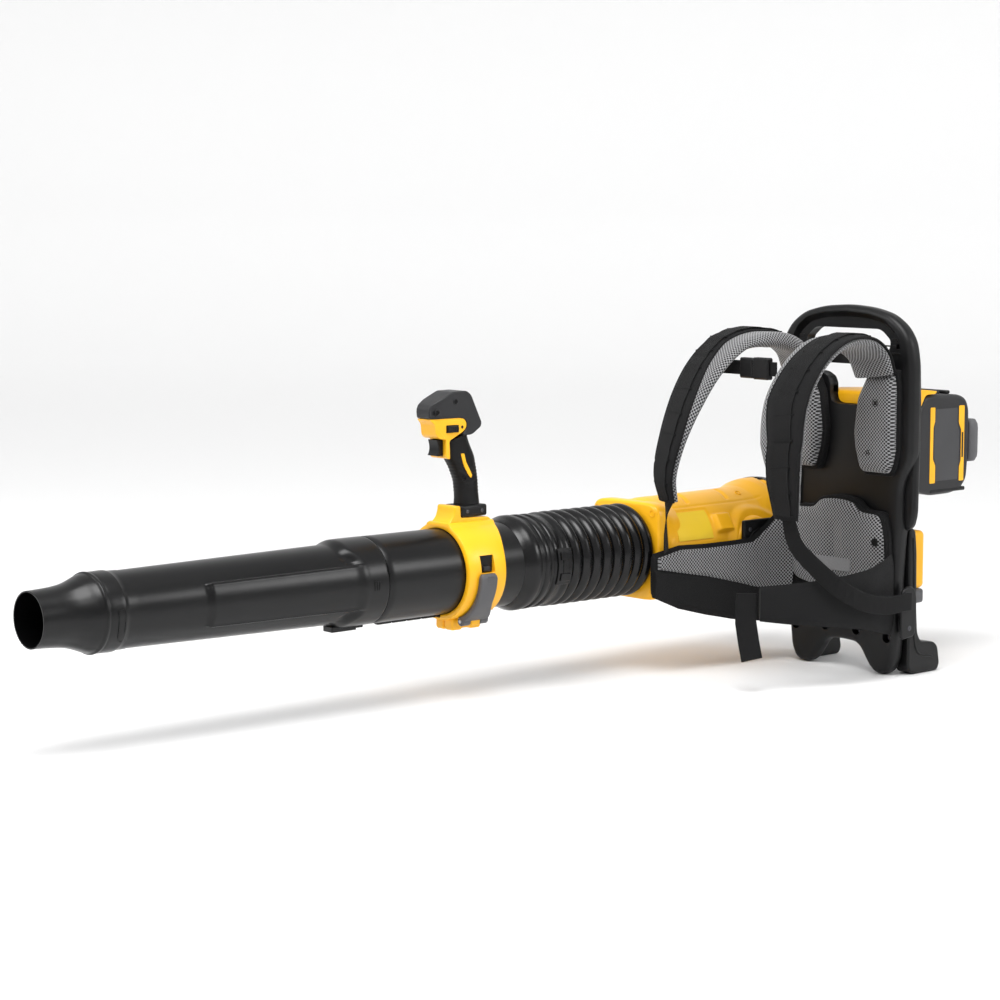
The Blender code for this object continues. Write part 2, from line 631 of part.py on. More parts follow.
def build_clamp():
    rings = [
        clamp_ring(False, 0.000, CLAMP_BORE, clamp_bore),
        clamp_ring(False, 0.000, CLAMP_RADIUS - 0.002, clamp_outer),
        clamp_ring(False, 0.003, CLAMP_RADIUS, clamp_outer),
        clamp_ring(True, 0.003, CLAMP_RADIUS, clamp_outer),
        clamp_ring(True, 0.000, CLAMP_RADIUS - 0.002, clamp_outer),
        clamp_ring(True, 0.000, CLAMP_BORE, clamp_bore),
    ]
    clamp = loft("tube_clamp", rings, YELLOW, hollow=True)
    seat_outline = [
        (CLAMP_FRONT + 0.003, 0.2350), (CLAMP_FRONT + 0.003, 0.2430), (-0.5720, 0.2490), (-0.5665, 0.2580),
        (-0.5660, 0.2670), (-0.5560, 0.2670), (-0.5550, 0.2505), (-0.5060, 0.2490), (-0.4990, 0.2430),
        (-0.5000, 0.2350),
    ]
    seat = side_plate("add_seat", seat_outline, AIR_X - SEAT_HALF, AIR_X + SEAT_HALF, YELLOW)
    cut(seat, air_bore(CLAMP_RADIUS - 0.003, -0.59, -0.49))
    join(clamp, seat)
    feet = block("add_feet", (AIR_X - FOOT_HALF, -0.5715, 0.0955), (AIR_X + FOOT_HALF, -0.5185, 0.1300),
                 YELLOW, 0.004, 2)
    cut(feet, air_bore(CLAMP_RADIUS - 0.001, -0.59, -0.49))
    x, z = LEVER_PIVOT
    lug = block("add_lug", (AIR_X + FOOT_HALF - 0.004, LUG_LENGTH[0], z - 0.0065),
                (x + 0.0060, LUG_LENGTH[1], z + 0.0065), YELLOW, 0.002, 1)
    join(clamp, feet)
    join(clamp, lug)
    window_low = (AIR_X + 0.0620, -0.5630, 0.1820)
    cut(clamp, block("cut_window", window_low, (AIR_X + 0.0700, -0.5400, 0.2050), YELLOW))
    cut(clamp, round_bar("cut_pin", (x, -0.56, z), (x, -0.53, z), 0.0030, YELLOW, 12))
    return clamp


def build_clamp_lever():
    """The grey lever that curves up the clamp's side from a pin below it."""
    x, z = LEVER_PIVOT
    rings = []
    steps = 8
    for i in range(steps + 1):
        t = i / steps
        angle = math.radians(-64.0 + 65.0 * t)
        narrow = min(1.0, t * 1.6)
        low = LEVER_LENGTH[0] + 0.0015 * narrow
        high = LEVER_LENGTH[1] - 0.0160 * narrow
        rings.append([(AIR_X + r * math.cos(angle), y, AIR_Z + r * math.sin(angle))
                      for r, y in ((0.0690, low), (0.0765, low), (0.0765, high), (0.0690, high))])
    lever = loft("clamp_lever", rings, GREY)
    bevel(lever, 0.002, 1)
    low, high = LEVER_LENGTH
    join(lever, round_bar("add_knuckle", (x, low, z), (x, high, z), 0.0065, GREY, 16))
    cut(lever, block("cut_lug", (x - 0.012, LUG_LENGTH[0] - 0.0005, z - 0.012),
                     (x + 0.014, LUG_LENGTH[1] + 0.0005, z + 0.0105), GREY))
    cut(lever, round_bar("cut_pin", (x, -0.60, z), (x, -0.49, z), 0.0030, GREY, 12))
    round_bar("clamp_pin", (x, low - 0.0015, z), (x, high + 0.0015, z), 0.0027, STEEL, 12)


GRIP_SECTIONS = [  # height, centre along the tube, half depth, half width, slope
    (0.2672, -0.5300, 0.0175, 0.0150, 0.00), (0.2760, -0.5303, 0.0170, 0.0146, 0.00),
    (0.3000, -0.5325, 0.0176, 0.0148, 0.00), (0.3200, -0.5385, 0.0205, 0.0152, 0.00),
    (0.3330, -0.5440, 0.0230, 0.0155, 0.05), (0.3460, -0.5500, 0.0215, 0.0156, 0.15),
    (0.3600, -0.5540, 0.0190, 0.0156, 0.26),
]
BODY_OUTLINE = [
    (-0.6065, 0.3878), (-0.6045, 0.3740), (-0.5970, 0.3605), (-0.5805, 0.3600), (-0.5800, 0.3340),
    (-0.5735, 0.3320), (-0.5735, 0.3370), (-0.5745, 0.3575), (-0.5460, 0.3655), (-0.5440, 0.3720),
    (-0.5440, 0.3803), (-0.5480, 0.3865), (-0.5565, 0.3878),
]
CAP_OUTLINE = [
    (-0.6070, 0.3881), (-0.6075, 0.4000), (-0.6050, 0.4065), (-0.5940, 0.4120), (-0.5680, 0.4242),
    (-0.5440, 0.4245), (-0.5360, 0.4190), (-0.5170, 0.3800), (-0.5185, 0.3740), (-0.5340, 0.3672),
    (-0.5436, 0.3662), (-0.5436, 0.3720), (-0.5436, 0.3806), (-0.5478, 0.3869), (-0.5565, 0.3881),
]
BODY_HALF = 0.0175


def grip_section(height, centre, half_depth, half_width, slope, sides=20):
    ring = []
    for i in range(sides):
        a = 2 * math.pi * i / sides
        c, s = math.cos(a), math.sin(a)
        c = math.copysign(abs(c) ** 0.8, c)
        s = math.copysign(abs(s) ** 0.8, s)
        along = half_depth * c
        ring.append((AIR_X + half_width * s, centre + along, height + slope * along))
    return ring


def build_handle():
    """Seat, grip, yellow body and cap of the control handle."""
    block("handle_base", (AIR_X - SEAT_HALF, -0.5547, 0.2508), (AIR_X + SEAT_HALF, -0.5080, 0.2668), BLACK,
          0.003, 2)
    rings = [grip_section(*values) for values in GRIP_SECTIONS]
    loft("handle_grip", rings, BLACK)
    body = side_plate("handle_body", BODY_OUTLINE, AIR_X - BODY_HALF, AIR_X + BODY_HALF, YELLOW)
    bevel(body, 0.002, 1)
    trigger_low = (AIR_X - 0.0103, -0.62, 0.3370)
    cut(body, block("cut_trigger", trigger_low, (AIR_X + 0.0103, -0.5760, 0.3592), YELLOW))
    switch_low = (AIR_X - 0.0065, -0.5900, 0.3500)
    cut(body, block("cut_switch", switch_low, (AIR_X + 0.0065, -0.5600, 0.3800), YELLOW))
    cap = side_plate("handle_cap", CAP_OUTLINE, AIR_X - 0.0182, AIR_X + 0.0182, DARK)
    bevel(cap, 0.003, 2)




def build_trigger():
    """The throttle trigger and the switch it presses."""
    outline = [(-0.5900, 0.3585), (-0.5890, 0.3480), (-0.5910, 0.3380), (-0.5800, 0.3375), (-0.5793, 0.3585)]
    trigger = side_plate("throttle_trigger", outline, AIR_X - 0.0098, AIR_X + 0.0098, BLACK)
    bevel(trigger, 0.0015, 1)
    block("throttle_switch", (AIR_X - 0.0060, -0.5880, 0.3640), (AIR_X + 0.0060, -0.5620, 0.3797), DARK)


BUTTON_Y = -0.5690
BUTTON_Z = 0.3735


def build_button():
    """The cruise button in the body's right side."""
    body = bpy.data.objects["handle_body"]
    cut(body, block("cut_button", (AIR_X + 0.0085, BUTTON_Y - 0.0100, BUTTON_Z - 0.0048),
                    (AIR_X + 0.0300, BUTTON_Y + 0.0100, BUTTON_Z + 0.0048), YELLOW))
    block("cruise_button", (AIR_X + 0.0112, BUTTON_Y - 0.0095, BUTTON_Z - 0.0043),
          (AIR_X + 0.0200, BUTTON_Y + 0.0095, BUTTON_Z + 0.0043), BLACK, 0.001, 1)


# ---------------------------------------------------------------- soft goods
RIGHT_STRAP = [
    (0.073, 0.006, 0.437), (0.071, -0.008, 0.466), (0.069, -0.036, 0.484), (0.068, -0.072, 0.488),
    (0.0685, -0.110, 0.478), (0.069, -0.148, 0.450), (0.067, -0.176, 0.405), (0.072, -0.190, 0.350),
    (0.079, -0.190, 0.295), (0.079, -0.182, 0.243),
]
LEFT_STRAP = [
    (-0.074, 0.006, 0.437), (-0.074, -0.008, 0.466), (-0.078, -0.040, 0.486), (-0.083, -0.085, 0.490),
    (-0.086, -0.135, 0.477), (-0.086, -0.180, 0.445), (-0.088, -0.214, 0.400), (-0.095, -0.235, 0.345),
    (-0.103, -0.241, 0.295), (-0.102, -0.234, 0.257),
]
RIGHT_STRAP_WIDTHS = [0.066, 0.070, 0.078, 0.082, 0.082, 0.082, 0.086, 0.084, 0.060, 0.042]
LEFT_STRAP_WIDTHS = [0.066, 0.070, 0.078, 0.082, 0.080, 0.076, 0.068, 0.056, 0.048, 0.040]
RIGHT_WEB = [
    (0.079, -0.180, 0.241), (0.084, -0.170, 0.205), (0.107, -0.150, 0.172), (0.1205, -0.116, 0.142),
    (0.1265, -0.074, 0.121), (0.1285, -0.030, 0.112), (0.1290, 0.000, 0.112), (0.1275, 0.026, 0.112),
]
LEFT_WEB = [
    (-0.102, -0.233, 0.255), (-0.1035, -0.236, 0.225), (-0.1050, -0.2405, 0.200),
]
WING_THICKNESS = 0.014


def build_back_pads():
    """Two pads on the frame behind the shoulder blades, one under each strap's root."""
    for side, name in ((1, "back_pad_right"), (-1, "back_pad_left")):
        half = [(0.046, 0.294), (0.036, 0.326), (0.033, 0.352), (0.040, 0.402), (0.060, 0.430),
                (0.105, 0.430), (0.110, 0.412), (0.110, 0.328), (0.104, 0.304), (0.096, 0.293)]
        outline = [(side * x, z) for x, z in half]
        pad = front_plate(name, outline, FRAME_FRONT - PAD_THICKNESS, FRAME_FRONT - GAP, MESH_GREY)
        bevel(pad, 0.004, 1, 60.0)


def build_straps():
    across = [(1, 0, 0), (1, 0, 0)]
    band("shoulder_strap_right", RIGHT_STRAP, RIGHT_STRAP_WIDTHS, STRAP_THICKNESS, across, WEBBING)
    left_across = [(1, 0, 0), (1, -0.1, 0), (1, -0.3, 0)]
    band("shoulder_strap_left", LEFT_STRAP, LEFT_STRAP_WIDTHS, STRAP_THICKNESS, left_across, WEBBING)


def build_lumbar():
    half = [(0.000, 0.248), (0.030, 0.247), (0.052, 0.236), (0.086, 0.232), (0.096, 0.222), (0.098, 0.160),
            (0.092, 0.128), (0.080, 0.118), (0.000, 0.118)]
    front_plate("lumbar_pad", mirrored(half), FRAME_FRONT - 0.020, FRAME_FRONT - GAP, MESH_GREY)


def wing(name, path, heights, look):
    """A hip wing: an upright band along a path of (x, y) with its own (bottom, top) heights."""
    points = [(x, y, 0.0) for x, y in path]
    centre = smooth_path(points, 3)
    rings = []
    for i, point in enumerate(centre):
        t = i / (len(centre) - 1) * (len(heights) - 1)
        k = min(int(t), len(heights) - 2)
        low = heights[k][0] + (heights[k + 1][0] - heights[k][0]) * (t - k)
        top = heights[k][1] + (heights[k + 1][1] - heights[k][1]) * (t - k)
        ahead = (centre[min(i + 1, len(centre) - 1)] - centre[max(i - 1, 0)]).normalized()
        side = Vector((ahead.y, -ahead.x, 0.0)) * WING_THICKNESS * 0.5
        rings.append([point + side + Vector((0, 0, low)), point + side + Vector((0, 0, top)),
                      point - side + Vector((0, 0, top)), point - side + Vector((0, 0, low))])
    return loft(name, rings, look)


def build_hip_belt():
    """The belt's middle, its two wings and the loose end of webbing."""
    half = [(0.000, 0.1165), (0.080, 0.1165), (0.094, 0.122), (0.097, 0.110), (0.095, 0.066), (0.000, 0.062)]
    front_plate("belt_back", mirrored(half), FRAME_FRONT - 0.018, FRAME_FRONT - GAP, WEBBING)
    left_path = [(-0.0925, -0.0065), (-0.1010, -0.0300), (-0.1035, -0.0600), (-0.1070, -0.1000),
                 (-0.1100, -0.1500), (-0.1135, -0.2000), (-0.1160, -0.2520)]
    left_heights = [(0.068, 0.231), (0.064, 0.212), (0.067, 0.190), (0.072, 0.188), (0.083, 0.187),
                    (0.096, 0.1885), (0.117, 0.180)]
    wing("hip_wing_left", left_path, left_heights, MESH_GREY)
    right_path = [(0.1045, -0.0005), (0.1090, -0.050), (0.0960, -0.130), (0.0560, -0.214)]
    right_heights = [(0.068, 0.172), (0.079, 0.160), (0.090, 0.154), (0.098, 0.149)]
    wing("hip_wing_right", right_path, right_heights, WEBBING)
    band("belt_tail", [(0.0485, -0.2305, 0.140), (0.0478, -0.2315, 0.100), (0.0560, -0.2270, 0.047)],
         [0.032, 0.032], 0.003, [(0.4, 0.9, 0), (0.4, 0.9, 0)], WEBBING, 2)


def build_webbing():
    upright = [(1, 0, 0), (0.75, 0.3, 0.5), (0.15, 0.1, 1), (0, 0, 1), (0, 0, 1)]
    band("strap_web_right", RIGHT_WEB, [WEB_WIDTH, WEB_WIDTH], WEB_THICKNESS, upright, WEBBING)
    band("strap_web_left", LEFT_WEB, [WEB_WIDTH, WEB_WIDTH], WEB_THICKNESS, [(1, 0, 0), (0, 1, 0)], WEBBING)


BUCKLE_Y = -0.1470
BUCKLE_Z = 0.4465


def build_sternum_strap():
    """Two short webs from the shoulder straps to a side-release buckle between them."""
    low, high = BUCKLE_Z - 0.0155, BUCKLE_Z + 0.0155
    front, back = BUCKLE_Y - 0.0060, BUCKLE_Y + 0.0060
    block("buckle_socket", (-0.0195, front, low), (0.0105, back, high), BLACK, 0.002, 1)
    low, high = BUCKLE_Z - 0.0145, BUCKLE_Z + 0.0145
    front, back = BUCKLE_Y - 0.0055, BUCKLE_Y + 0.0055
    block("buckle_tongue", (-0.0455, front, low), (-0.0198, back, high), BLACK, 0.002, 1)
    low, high = BUCKLE_Z - 0.010, BUCKLE_Z + 0.010
    front, back = BUCKLE_Y - 0.0012, BUCKLE_Y + 0.0012
    block("sternum_web_left", (-0.0860, front, low), (-0.0460, back, high), WEBBING)
    block("sternum_web_right", (0.0110, front, low), (0.0220, back, high), WEBBING)


FAN_PIVOT = (AIR_X, -0.018, AIR_Z)
NOZZLE_PIVOT = (AIR_X, -1.095, AIR_Z)
TUBE_PIVOT = (AIR_X, -0.378, AIR_Z)
HOSE_PIVOT = (AIR_X, -0.285, AIR_Z)
HANDLE_PIVOT = (AIR_X, CLAMP_FRONT, AIR_Z)
PIVOTS = {
    "fan_impeller": FAN_PIVOT, "motor_shaft": FAN_PIVOT, "motor_rotor": FAN_PIVOT,
    "hose_ring": HOSE_PIVOT, "hose_front": HOSE_PIVOT,
    "hose_front_collar": TUBE_PIVOT, "rear_tube": TUBE_PIVOT, "front_tube": TUBE_PIVOT,
    "nozzle": NOZZLE_PIVOT,
    "tube_clamp": HANDLE_PIVOT, "clamp_pin": HANDLE_PIVOT, "handle_base": HANDLE_PIVOT,
    "handle_grip": HANDLE_PIVOT, "handle_body": HANDLE_PIVOT, "handle_cap": HANDLE_PIVOT,
    "throttle_switch": HANDLE_PIVOT,
    "clamp_lever": (LEVER_PIVOT[0], -0.545, LEVER_PIVOT[1]),
    "throttle_trigger": (AIR_X, -0.5850, 0.3480),
    "cruise_button": (AIR_X + 0.0112, BUTTON_Y, BUTTON_Z),
    "battery_pack": (0.0, 0.1900, BATTERY_BOTTOM),
    "battery_latch": (LATCH_PIVOT[0], LATCH_PIVOT[1], 0.3235),
    "buckle_tongue": (-0.0200, BUCKLE_Y, BUCKLE_Z), "sternum_web_left": (-0.0200, BUCKLE_Y, BUCKLE_Z),
}


def assemble():
    """Put each moving piece's origin on its joint, and centre the blower's box on the world's origin."""
    for name, pivot in PIVOTS.items():
        obj = bpy.data.objects[name]
        obj.data.transform(Matrix.Translation(-Vector(pivot)))
        obj.location = pivot
    root = bpy.data.objects.new("blower_origin", None)
    bpy.context.scene.collection.objects.link(root)
    root.location = (ORIGIN[0], ORIGIN[1], 0.0)
    for obj in bpy.data.objects:
        if obj is not root and obj.parent is None:
            obj.parent = root


def main():
    clear_scene()
    build_frame()
    build_feet()
    build_anchors()
    build_dock()
    build_battery()
    build_battery_latch()
    build_controller()
    build_housing()
    build_flange()
    build_intake()
    build_fan()
    build_motor()
    build_housing_bracket()
    build_hose()
    build_tubes()
    build_clamp()
    build_clamp_lever()
    build_handle()
    build_trigger()
    build_button()
    build_back_pads()
    build_straps()
    build_lumbar()
    build_hip_belt()
    build_webbing()
    build_sternum_strap()
    assemble()


main()
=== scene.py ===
"""Battery backpack leaf blower: the looks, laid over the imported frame.

Lengths are in metres. Shapes are written from the harness frame's own centre line, as in the CAD:
x = 0 on its plane of symmetry, y = 0 just in front of it, z = 0 on the ground. place() moves them
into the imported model's frame.
"""
import json
from math import ceil, copysign, cos, degrees, exp, hypot, pi, radians, sin

import bmesh
import bpy
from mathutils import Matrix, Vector


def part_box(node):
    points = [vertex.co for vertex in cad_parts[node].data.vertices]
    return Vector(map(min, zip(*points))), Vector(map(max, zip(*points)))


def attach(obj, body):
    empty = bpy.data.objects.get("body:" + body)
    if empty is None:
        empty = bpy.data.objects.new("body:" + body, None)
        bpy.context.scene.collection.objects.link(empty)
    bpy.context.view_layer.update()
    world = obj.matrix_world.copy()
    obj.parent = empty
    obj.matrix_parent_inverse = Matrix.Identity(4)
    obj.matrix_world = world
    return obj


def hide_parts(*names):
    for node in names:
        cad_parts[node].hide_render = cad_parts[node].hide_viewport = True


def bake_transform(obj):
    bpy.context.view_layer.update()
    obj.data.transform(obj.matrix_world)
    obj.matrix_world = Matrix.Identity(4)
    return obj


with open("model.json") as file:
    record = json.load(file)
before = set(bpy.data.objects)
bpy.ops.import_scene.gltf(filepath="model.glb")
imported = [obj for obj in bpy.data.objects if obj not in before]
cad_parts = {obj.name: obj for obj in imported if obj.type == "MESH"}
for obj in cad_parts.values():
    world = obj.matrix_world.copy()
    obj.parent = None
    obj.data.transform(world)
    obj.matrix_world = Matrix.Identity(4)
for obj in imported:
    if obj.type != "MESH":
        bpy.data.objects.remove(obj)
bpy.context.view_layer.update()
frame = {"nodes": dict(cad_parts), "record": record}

FRAME_LOW, FRAME_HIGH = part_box("back_frame")
FRAME_FRONT = 0.02
FRAME_BACK = 0.045
SHIFT = Vector((0.5 * (FRAME_LOW[0] + FRAME_HIGH[0]), FRAME_LOW[1] - FRAME_FRONT, 0.0))

AIR_X = -0.2
AIR_Z = 0.1775
NOZZLE_TIP = -1.225
NOZZLE_END = -1.098
FRONT_TUBE_START = -1.118
FRONT_TUBE_END = -0.7125
REAR_TUBE_START = -0.733
REAR_TUBE_END = -0.418
COLLAR_START = -0.474
HOSE_START = -0.3885
HOSE_MIDDLE = -0.3085
HOSE_END = -0.2285
FLANGE_START = -0.227
FLANGE_END = -0.205
HOUSING_END = 0.05
INTAKE_END = 0.078
TUBE_RADIUS = 0.059
HOUSING_RADIUS = 0.0735
CLAMP_FRONT = -0.5815
CLAMP_BACK = -0.5147


# ================================================================ materials
def material(name, color, roughness, metallic=0.0):
    mat = bpy.data.materials.new(name)
    mat.use_nodes = True
    shader = mat.node_tree.nodes["Principled BSDF"]
    shader.inputs["Base Color"].default_value = (*color, 1.0)
    shader.inputs["Roughness"].default_value = roughness
    shader.inputs["Metallic"].default_value = metallic
    return mat, mat.node_tree, shader


def node(tree, kind, inputs=None, **settings):
    made = tree.nodes.new(kind)
    for key, value in settings.items():
        setattr(made, key, value)
    for key, value in (inputs or {}).items():
        if isinstance(value, bpy.types.NodeSocket):
            tree.links.new(value, made.inputs[key])
        else:
            made.inputs[key].default_value = value
    return made


def object_noise(tree, scale, detail=2.0, roughness=0.5):
    where = node(tree, "ShaderNodeTexCoord").outputs["Object"]
    inputs = {"Vector": where, "Scale": scale, "Detail": detail, "Roughness": roughness}
    return node(tree, "ShaderNodeTexNoise", inputs).outputs["Fac"]


def remap(tree, value, low, high, to_low, to_high, smooth=False):
    inputs = {"Value": value, "From Min": low, "From Max": high, "To Min": to_low, "To Max": to_high}
    made = node(tree, "ShaderNodeMapRange", inputs)
    if smooth:
        made.interpolation_type = "SMOOTHSTEP"
    return made.outputs["Result"]


def mix_color(tree, factor, first, second):
    made = node(tree, "ShaderNodeMix", data_type="RGBA")
    for index, value in ((0, factor), (6, first), (7, second)):
        if isinstance(value, bpy.types.NodeSocket):
            tree.links.new(value, made.inputs[index])
        elif index == 0:
            made.inputs[0].default_value = value
        else:
            made.inputs[index].default_value = (*value, 1.0)
    return made.outputs[2]


def add_bump(tree, shader, height, strength, distance, under=None):
    inputs = {"Height": height, "Strength": strength, "Distance": distance}
    if under is not None:
        inputs["Normal"] = under
    made = node(tree, "ShaderNodeBump", inputs)
    tree.links.new(made.outputs["Normal"], shader.inputs["Normal"])
    return made.outputs["Normal"]


def moulded(name, color, roughness, grain=0.1, grain_scale=1400.0, wear=0.35, specular=0.5, haze=0.035):
    """Moulded plastic: fine spark grain, uneven gloss, faint tone changes and lighter rubbed edges."""
    mat, tree, shader = material(name, color, roughness)
    shader.inputs["Specular IOR Level"].default_value = specular
    broad = object_noise(tree, 9.0, 3.0)
    tone = remap(tree, broad, 0.3, 0.7, 0.0, 1.0)
    lighter = tuple(min(1.0, c * 1.1 + 0.001) for c in color)
    darker = tuple(c * 0.92 for c in color)
    base = mix_color(tree, tone, darker, lighter)
    edge = node(tree, "ShaderNodeNewGeometry").outputs["Pointiness"]
    scuffs = object_noise(tree, 120.0, 4.0, 0.7)
    rubbed = remap(tree, edge, 0.56, 0.72, 0.0, wear)
    patchy = remap(tree, scuffs, 0.45, 0.65, 0.2, 1.0)
    amount = node(tree, "ShaderNodeMath", {0: rubbed, 1: patchy}, operation="MULTIPLY").outputs[0]
    worn = tuple(min(1.0, c * 1.7 + 0.012) for c in color)
    tree.links.new(mix_color(tree, amount, base, worn), shader.inputs["Base Color"])
    uneven = object_noise(tree, 45.0, 4.0)
    tree.links.new(remap(tree, uneven, 0.3, 0.7, roughness - haze, roughness + haze),
                   shader.inputs["Roughness"])
    add_bump(tree, shader, object_noise(tree, grain_scale, 1.0), grain, 0.0002)
    return mat


def metal(name, color, roughness):
    mat, tree, shader = material(name, color, roughness, 1.0)
    where = node(tree, "ShaderNodeTexCoord").outputs["Object"]
    turned = node(tree, "ShaderNodeMapping", {"Vector": where, "Scale": (60.0, 900.0, 60.0)})
    lines = node(tree, "ShaderNodeTexNoise",
                 {"Vector": turned.outputs["Vector"], "Scale": 1.0, "Detail": 3.0})
    uneven = remap(tree, lines.outputs["Fac"], 0.3, 0.7, roughness - 0.06, roughness + 0.1)
    tree.links.new(uneven, shader.inputs["Roughness"])
    tone = mix_color(tree, object_noise(tree, 30.0, 3.0), tuple(c * 0.85 for c in color), color)
    tree.links.new(tone, shader.inputs["Base Color"])
    return mat


def uv_cells(tree, pitch, turn=0.0):
    """A regular grid of cells in the piece's own cloth coordinates: distance from each cell's middle."""
    where = node(tree, "ShaderNodeUVMap").outputs["UV"]
    inputs = {"Vector": where, "Scale": (1.0 / pitch, 1.0 / pitch, 1.0), "Rotation": (0.0, 0.0, turn)}
    grid = node(tree, "ShaderNodeMapping", inputs).outputs["Vector"]
    cells = node(tree, "ShaderNodeTexVoronoi", {"Vector": grid, "Scale": 1.0, "Randomness": 0.0},
                 voronoi_dimensions="2D", feature="F1")
    return cells.outputs["Distance"]


def spacer_mesh(name, yarn, hole, pitch):
    """Open spacer mesh: pale yarn round staggered dark holes."""
    mat, tree, shader = material(name, yarn, 0.85)
    distance = uv_cells(tree, pitch, radians(45.0))
    yarn_here = remap(tree, distance, 0.36, 0.5, 0.0, 1.0, smooth=True)
    fibre = object_noise(tree, 1500.0, 2.0)
    patchy = object_noise(tree, 25.0, 3.0)
    dull = tuple(c * 0.62 for c in yarn)
    threads = mix_color(tree, remap(tree, fibre, 0.3, 0.7, 0.0, 1.0), dull, yarn)
    soiled = mix_color(tree, remap(tree, patchy, 0.35, 0.75, 0.0, 0.35), threads,
                       tuple(c * 0.5 for c in yarn))
    tree.links.new(mix_color(tree, yarn_here, hole, soiled), shader.inputs["Base Color"])
    shader.inputs["Sheen Weight"].default_value = 0.25
    shader.inputs["Sheen Roughness"].default_value = 0.5
    add_bump(tree, shader, yarn_here, 0.7, 0.0007)
    return mat


def woven(name, color, pitch, ribs=0.55, sheen=0.15):
    """Tight woven nylon: crossed threads, slight fuzz and uneven tone."""
    mat, tree, shader = material(name, color, 0.8)
    shader.inputs["Specular IOR Level"].default_value = 0.22
    where = node(tree, "ShaderNodeUVMap").outputs["UV"]
    along = node(tree, "ShaderNodeMapping", {"Vector": where, "Scale": (1.0 / pitch, 1.0 / pitch, 1.0)})
    split = node(tree, "ShaderNodeSeparateXYZ", {"Vector": along.outputs["Vector"]})
    threads = []
    for axis in ("X", "Y"):
        turns = node(tree, "ShaderNodeMath", {0: split.outputs[axis], 1: 2 * pi}, operation="MULTIPLY")
        threads.append(node(tree, "ShaderNodeMath", {0: turns.outputs[0]}, operation="SINE").outputs[0])
    weave = node(tree, "ShaderNodeMath", {0: threads[0], 1: threads[1]}, operation="MULTIPLY").outputs[0]
    fuzz = object_noise(tree, 700.0, 3.0)
    height = node(tree, "ShaderNodeMath", {0: weave, 1: fuzz}, operation="ADD").outputs[0]
    tone = remap(tree, height, -0.6, 1.6, 0.0, 1.0)
    darker = tuple(c * 0.55 for c in color)
    lighter = tuple(c * 1.55 + 0.002 for c in color)
    cloudy = remap(tree, object_noise(tree, 18.0, 3.0), 0.35, 0.7, 0.0, 0.5)
    threads_color = mix_color(tree, tone, darker, lighter)
    tree.links.new(mix_color(tree, cloudy, threads_color, color), shader.inputs["Base Color"])
    shader.inputs["Sheen Weight"].default_value = sheen
    shader.inputs["Sheen Roughness"].default_value = 0.4
    add_bump(tree, shader, height, ribs, 0.0004)
    return mat


BLACK = moulded("frame_plastic", (0.0042, 0.0042, 0.0046), 0.4, grain=0.16, wear=0.2, specular=0.26)
TUBE = moulded("tube_plastic", (0.0026, 0.0026, 0.0029), 0.3, grain=0.03, wear=0.0, specular=0.3,
                       haze=0.012)
HOSE = moulded("hose_rubber", (0.002, 0.002, 0.0023), 0.26, grain=0.03, wear=0.0, specular=0.32,
                      haze=0.012)
RUBBER = moulded("grip_rubber", (0.0035, 0.0035, 0.0038), 0.5, grain=0.3, grain_scale=900.0, wear=0.15,
                      specular=0.22)
YELLOW = moulded("yellow_plastic", (0.93, 0.455, 0.01), 0.34, grain=0.05, wear=0.0, specular=0.4)
DARK = moulded("dark_plastic", (0.0015, 0.0015, 0.0017), 0.45, grain=0.05, wear=0.0, specular=0.2)
LABEL = moulded("label_film", (0.95, 0.62, 0.04), 0.22, grain=0.0, wear=0.0)
DARK_GREY = moulded("dark_grey_plastic", (0.017, 0.017, 0.0185), 0.44, grain=0.15, wear=0.2, specular=0.34)
MID_GREY = moulded("mid_grey_plastic", (0.085, 0.085, 0.09), 0.46, grain=0.12, wear=0.15, specular=0.4)
FIELD_GREY = moulded("field_grey_film", (0.046, 0.046, 0.049), 0.42, grain=0.08, wear=0.0, specular=0.34)
SCREW_STEEL = metal("screw_steel", (0.1, 0.1, 0.11), 0.42)
STEEL = metal("plain_steel", (0.45, 0.45, 0.47), 0.32)
COPPER = metal("copper_winding", (0.62, 0.28, 0.12), 0.38)
BOARD_GREEN = moulded("board_green", (0.02, 0.14, 0.05), 0.5)
MESH = spacer_mesh("mesh_fabric", (0.4, 0.4, 0.41), (0.003, 0.003, 0.0035), 0.0038)
FABRIC = woven("black_fabric", (0.004, 0.004, 0.0044), 0.0012, sheen=0.03)
WEBBING = woven("black_webbing", (0.003, 0.003, 0.0033), 0.0018, ribs=0.8, sheen=0.03)
PIPING = woven("piping", (0.0022, 0.0022, 0.0025), 0.001, ribs=0.4, sheen=0.02)

BADGE = woven("badge_fabric", (0.2, 0.2, 0.205), 0.0012, ribs=0.4)

LOOKS = {  # the first look of each slot is the one that the CAD nodes wear
    "frame_black": (BLACK, RUBBER, DARK), "tube_black": (TUBE,),
    "hose_black": (HOSE,), "shell_yellow": (YELLOW, LABEL), "dark_grey": (DARK_GREY,),
    "mid_grey": (MID_GREY, FIELD_GREY), "steel": (STEEL, SCREW_STEEL), "copper": (COPPER,),
    "circuit_board": (BOARD_GREEN,), "pad_mesh": (MESH, BADGE),
    "webbing_black": (WEBBING, FABRIC, PIPING),
}


def dress_cad_nodes():
    """Every CAD node gets a finished material of its own slot; the ones replaced below aren't shown."""
    slots = {entry["node"]: entry["material_slot"] for entry in frame["record"]["subparts"]}
    for name, obj in frame["nodes"].items():
        look = LOOKS[slots[name]][0]
        if not obj.material_slots:
            obj.data.materials.append(look)
        for holder in obj.material_slots:
            holder.material = look


# ================================================================ mesh helpers
def place(point):
    return (point[0] + SHIFT.x, point[1] + SHIFT.y, point[2])


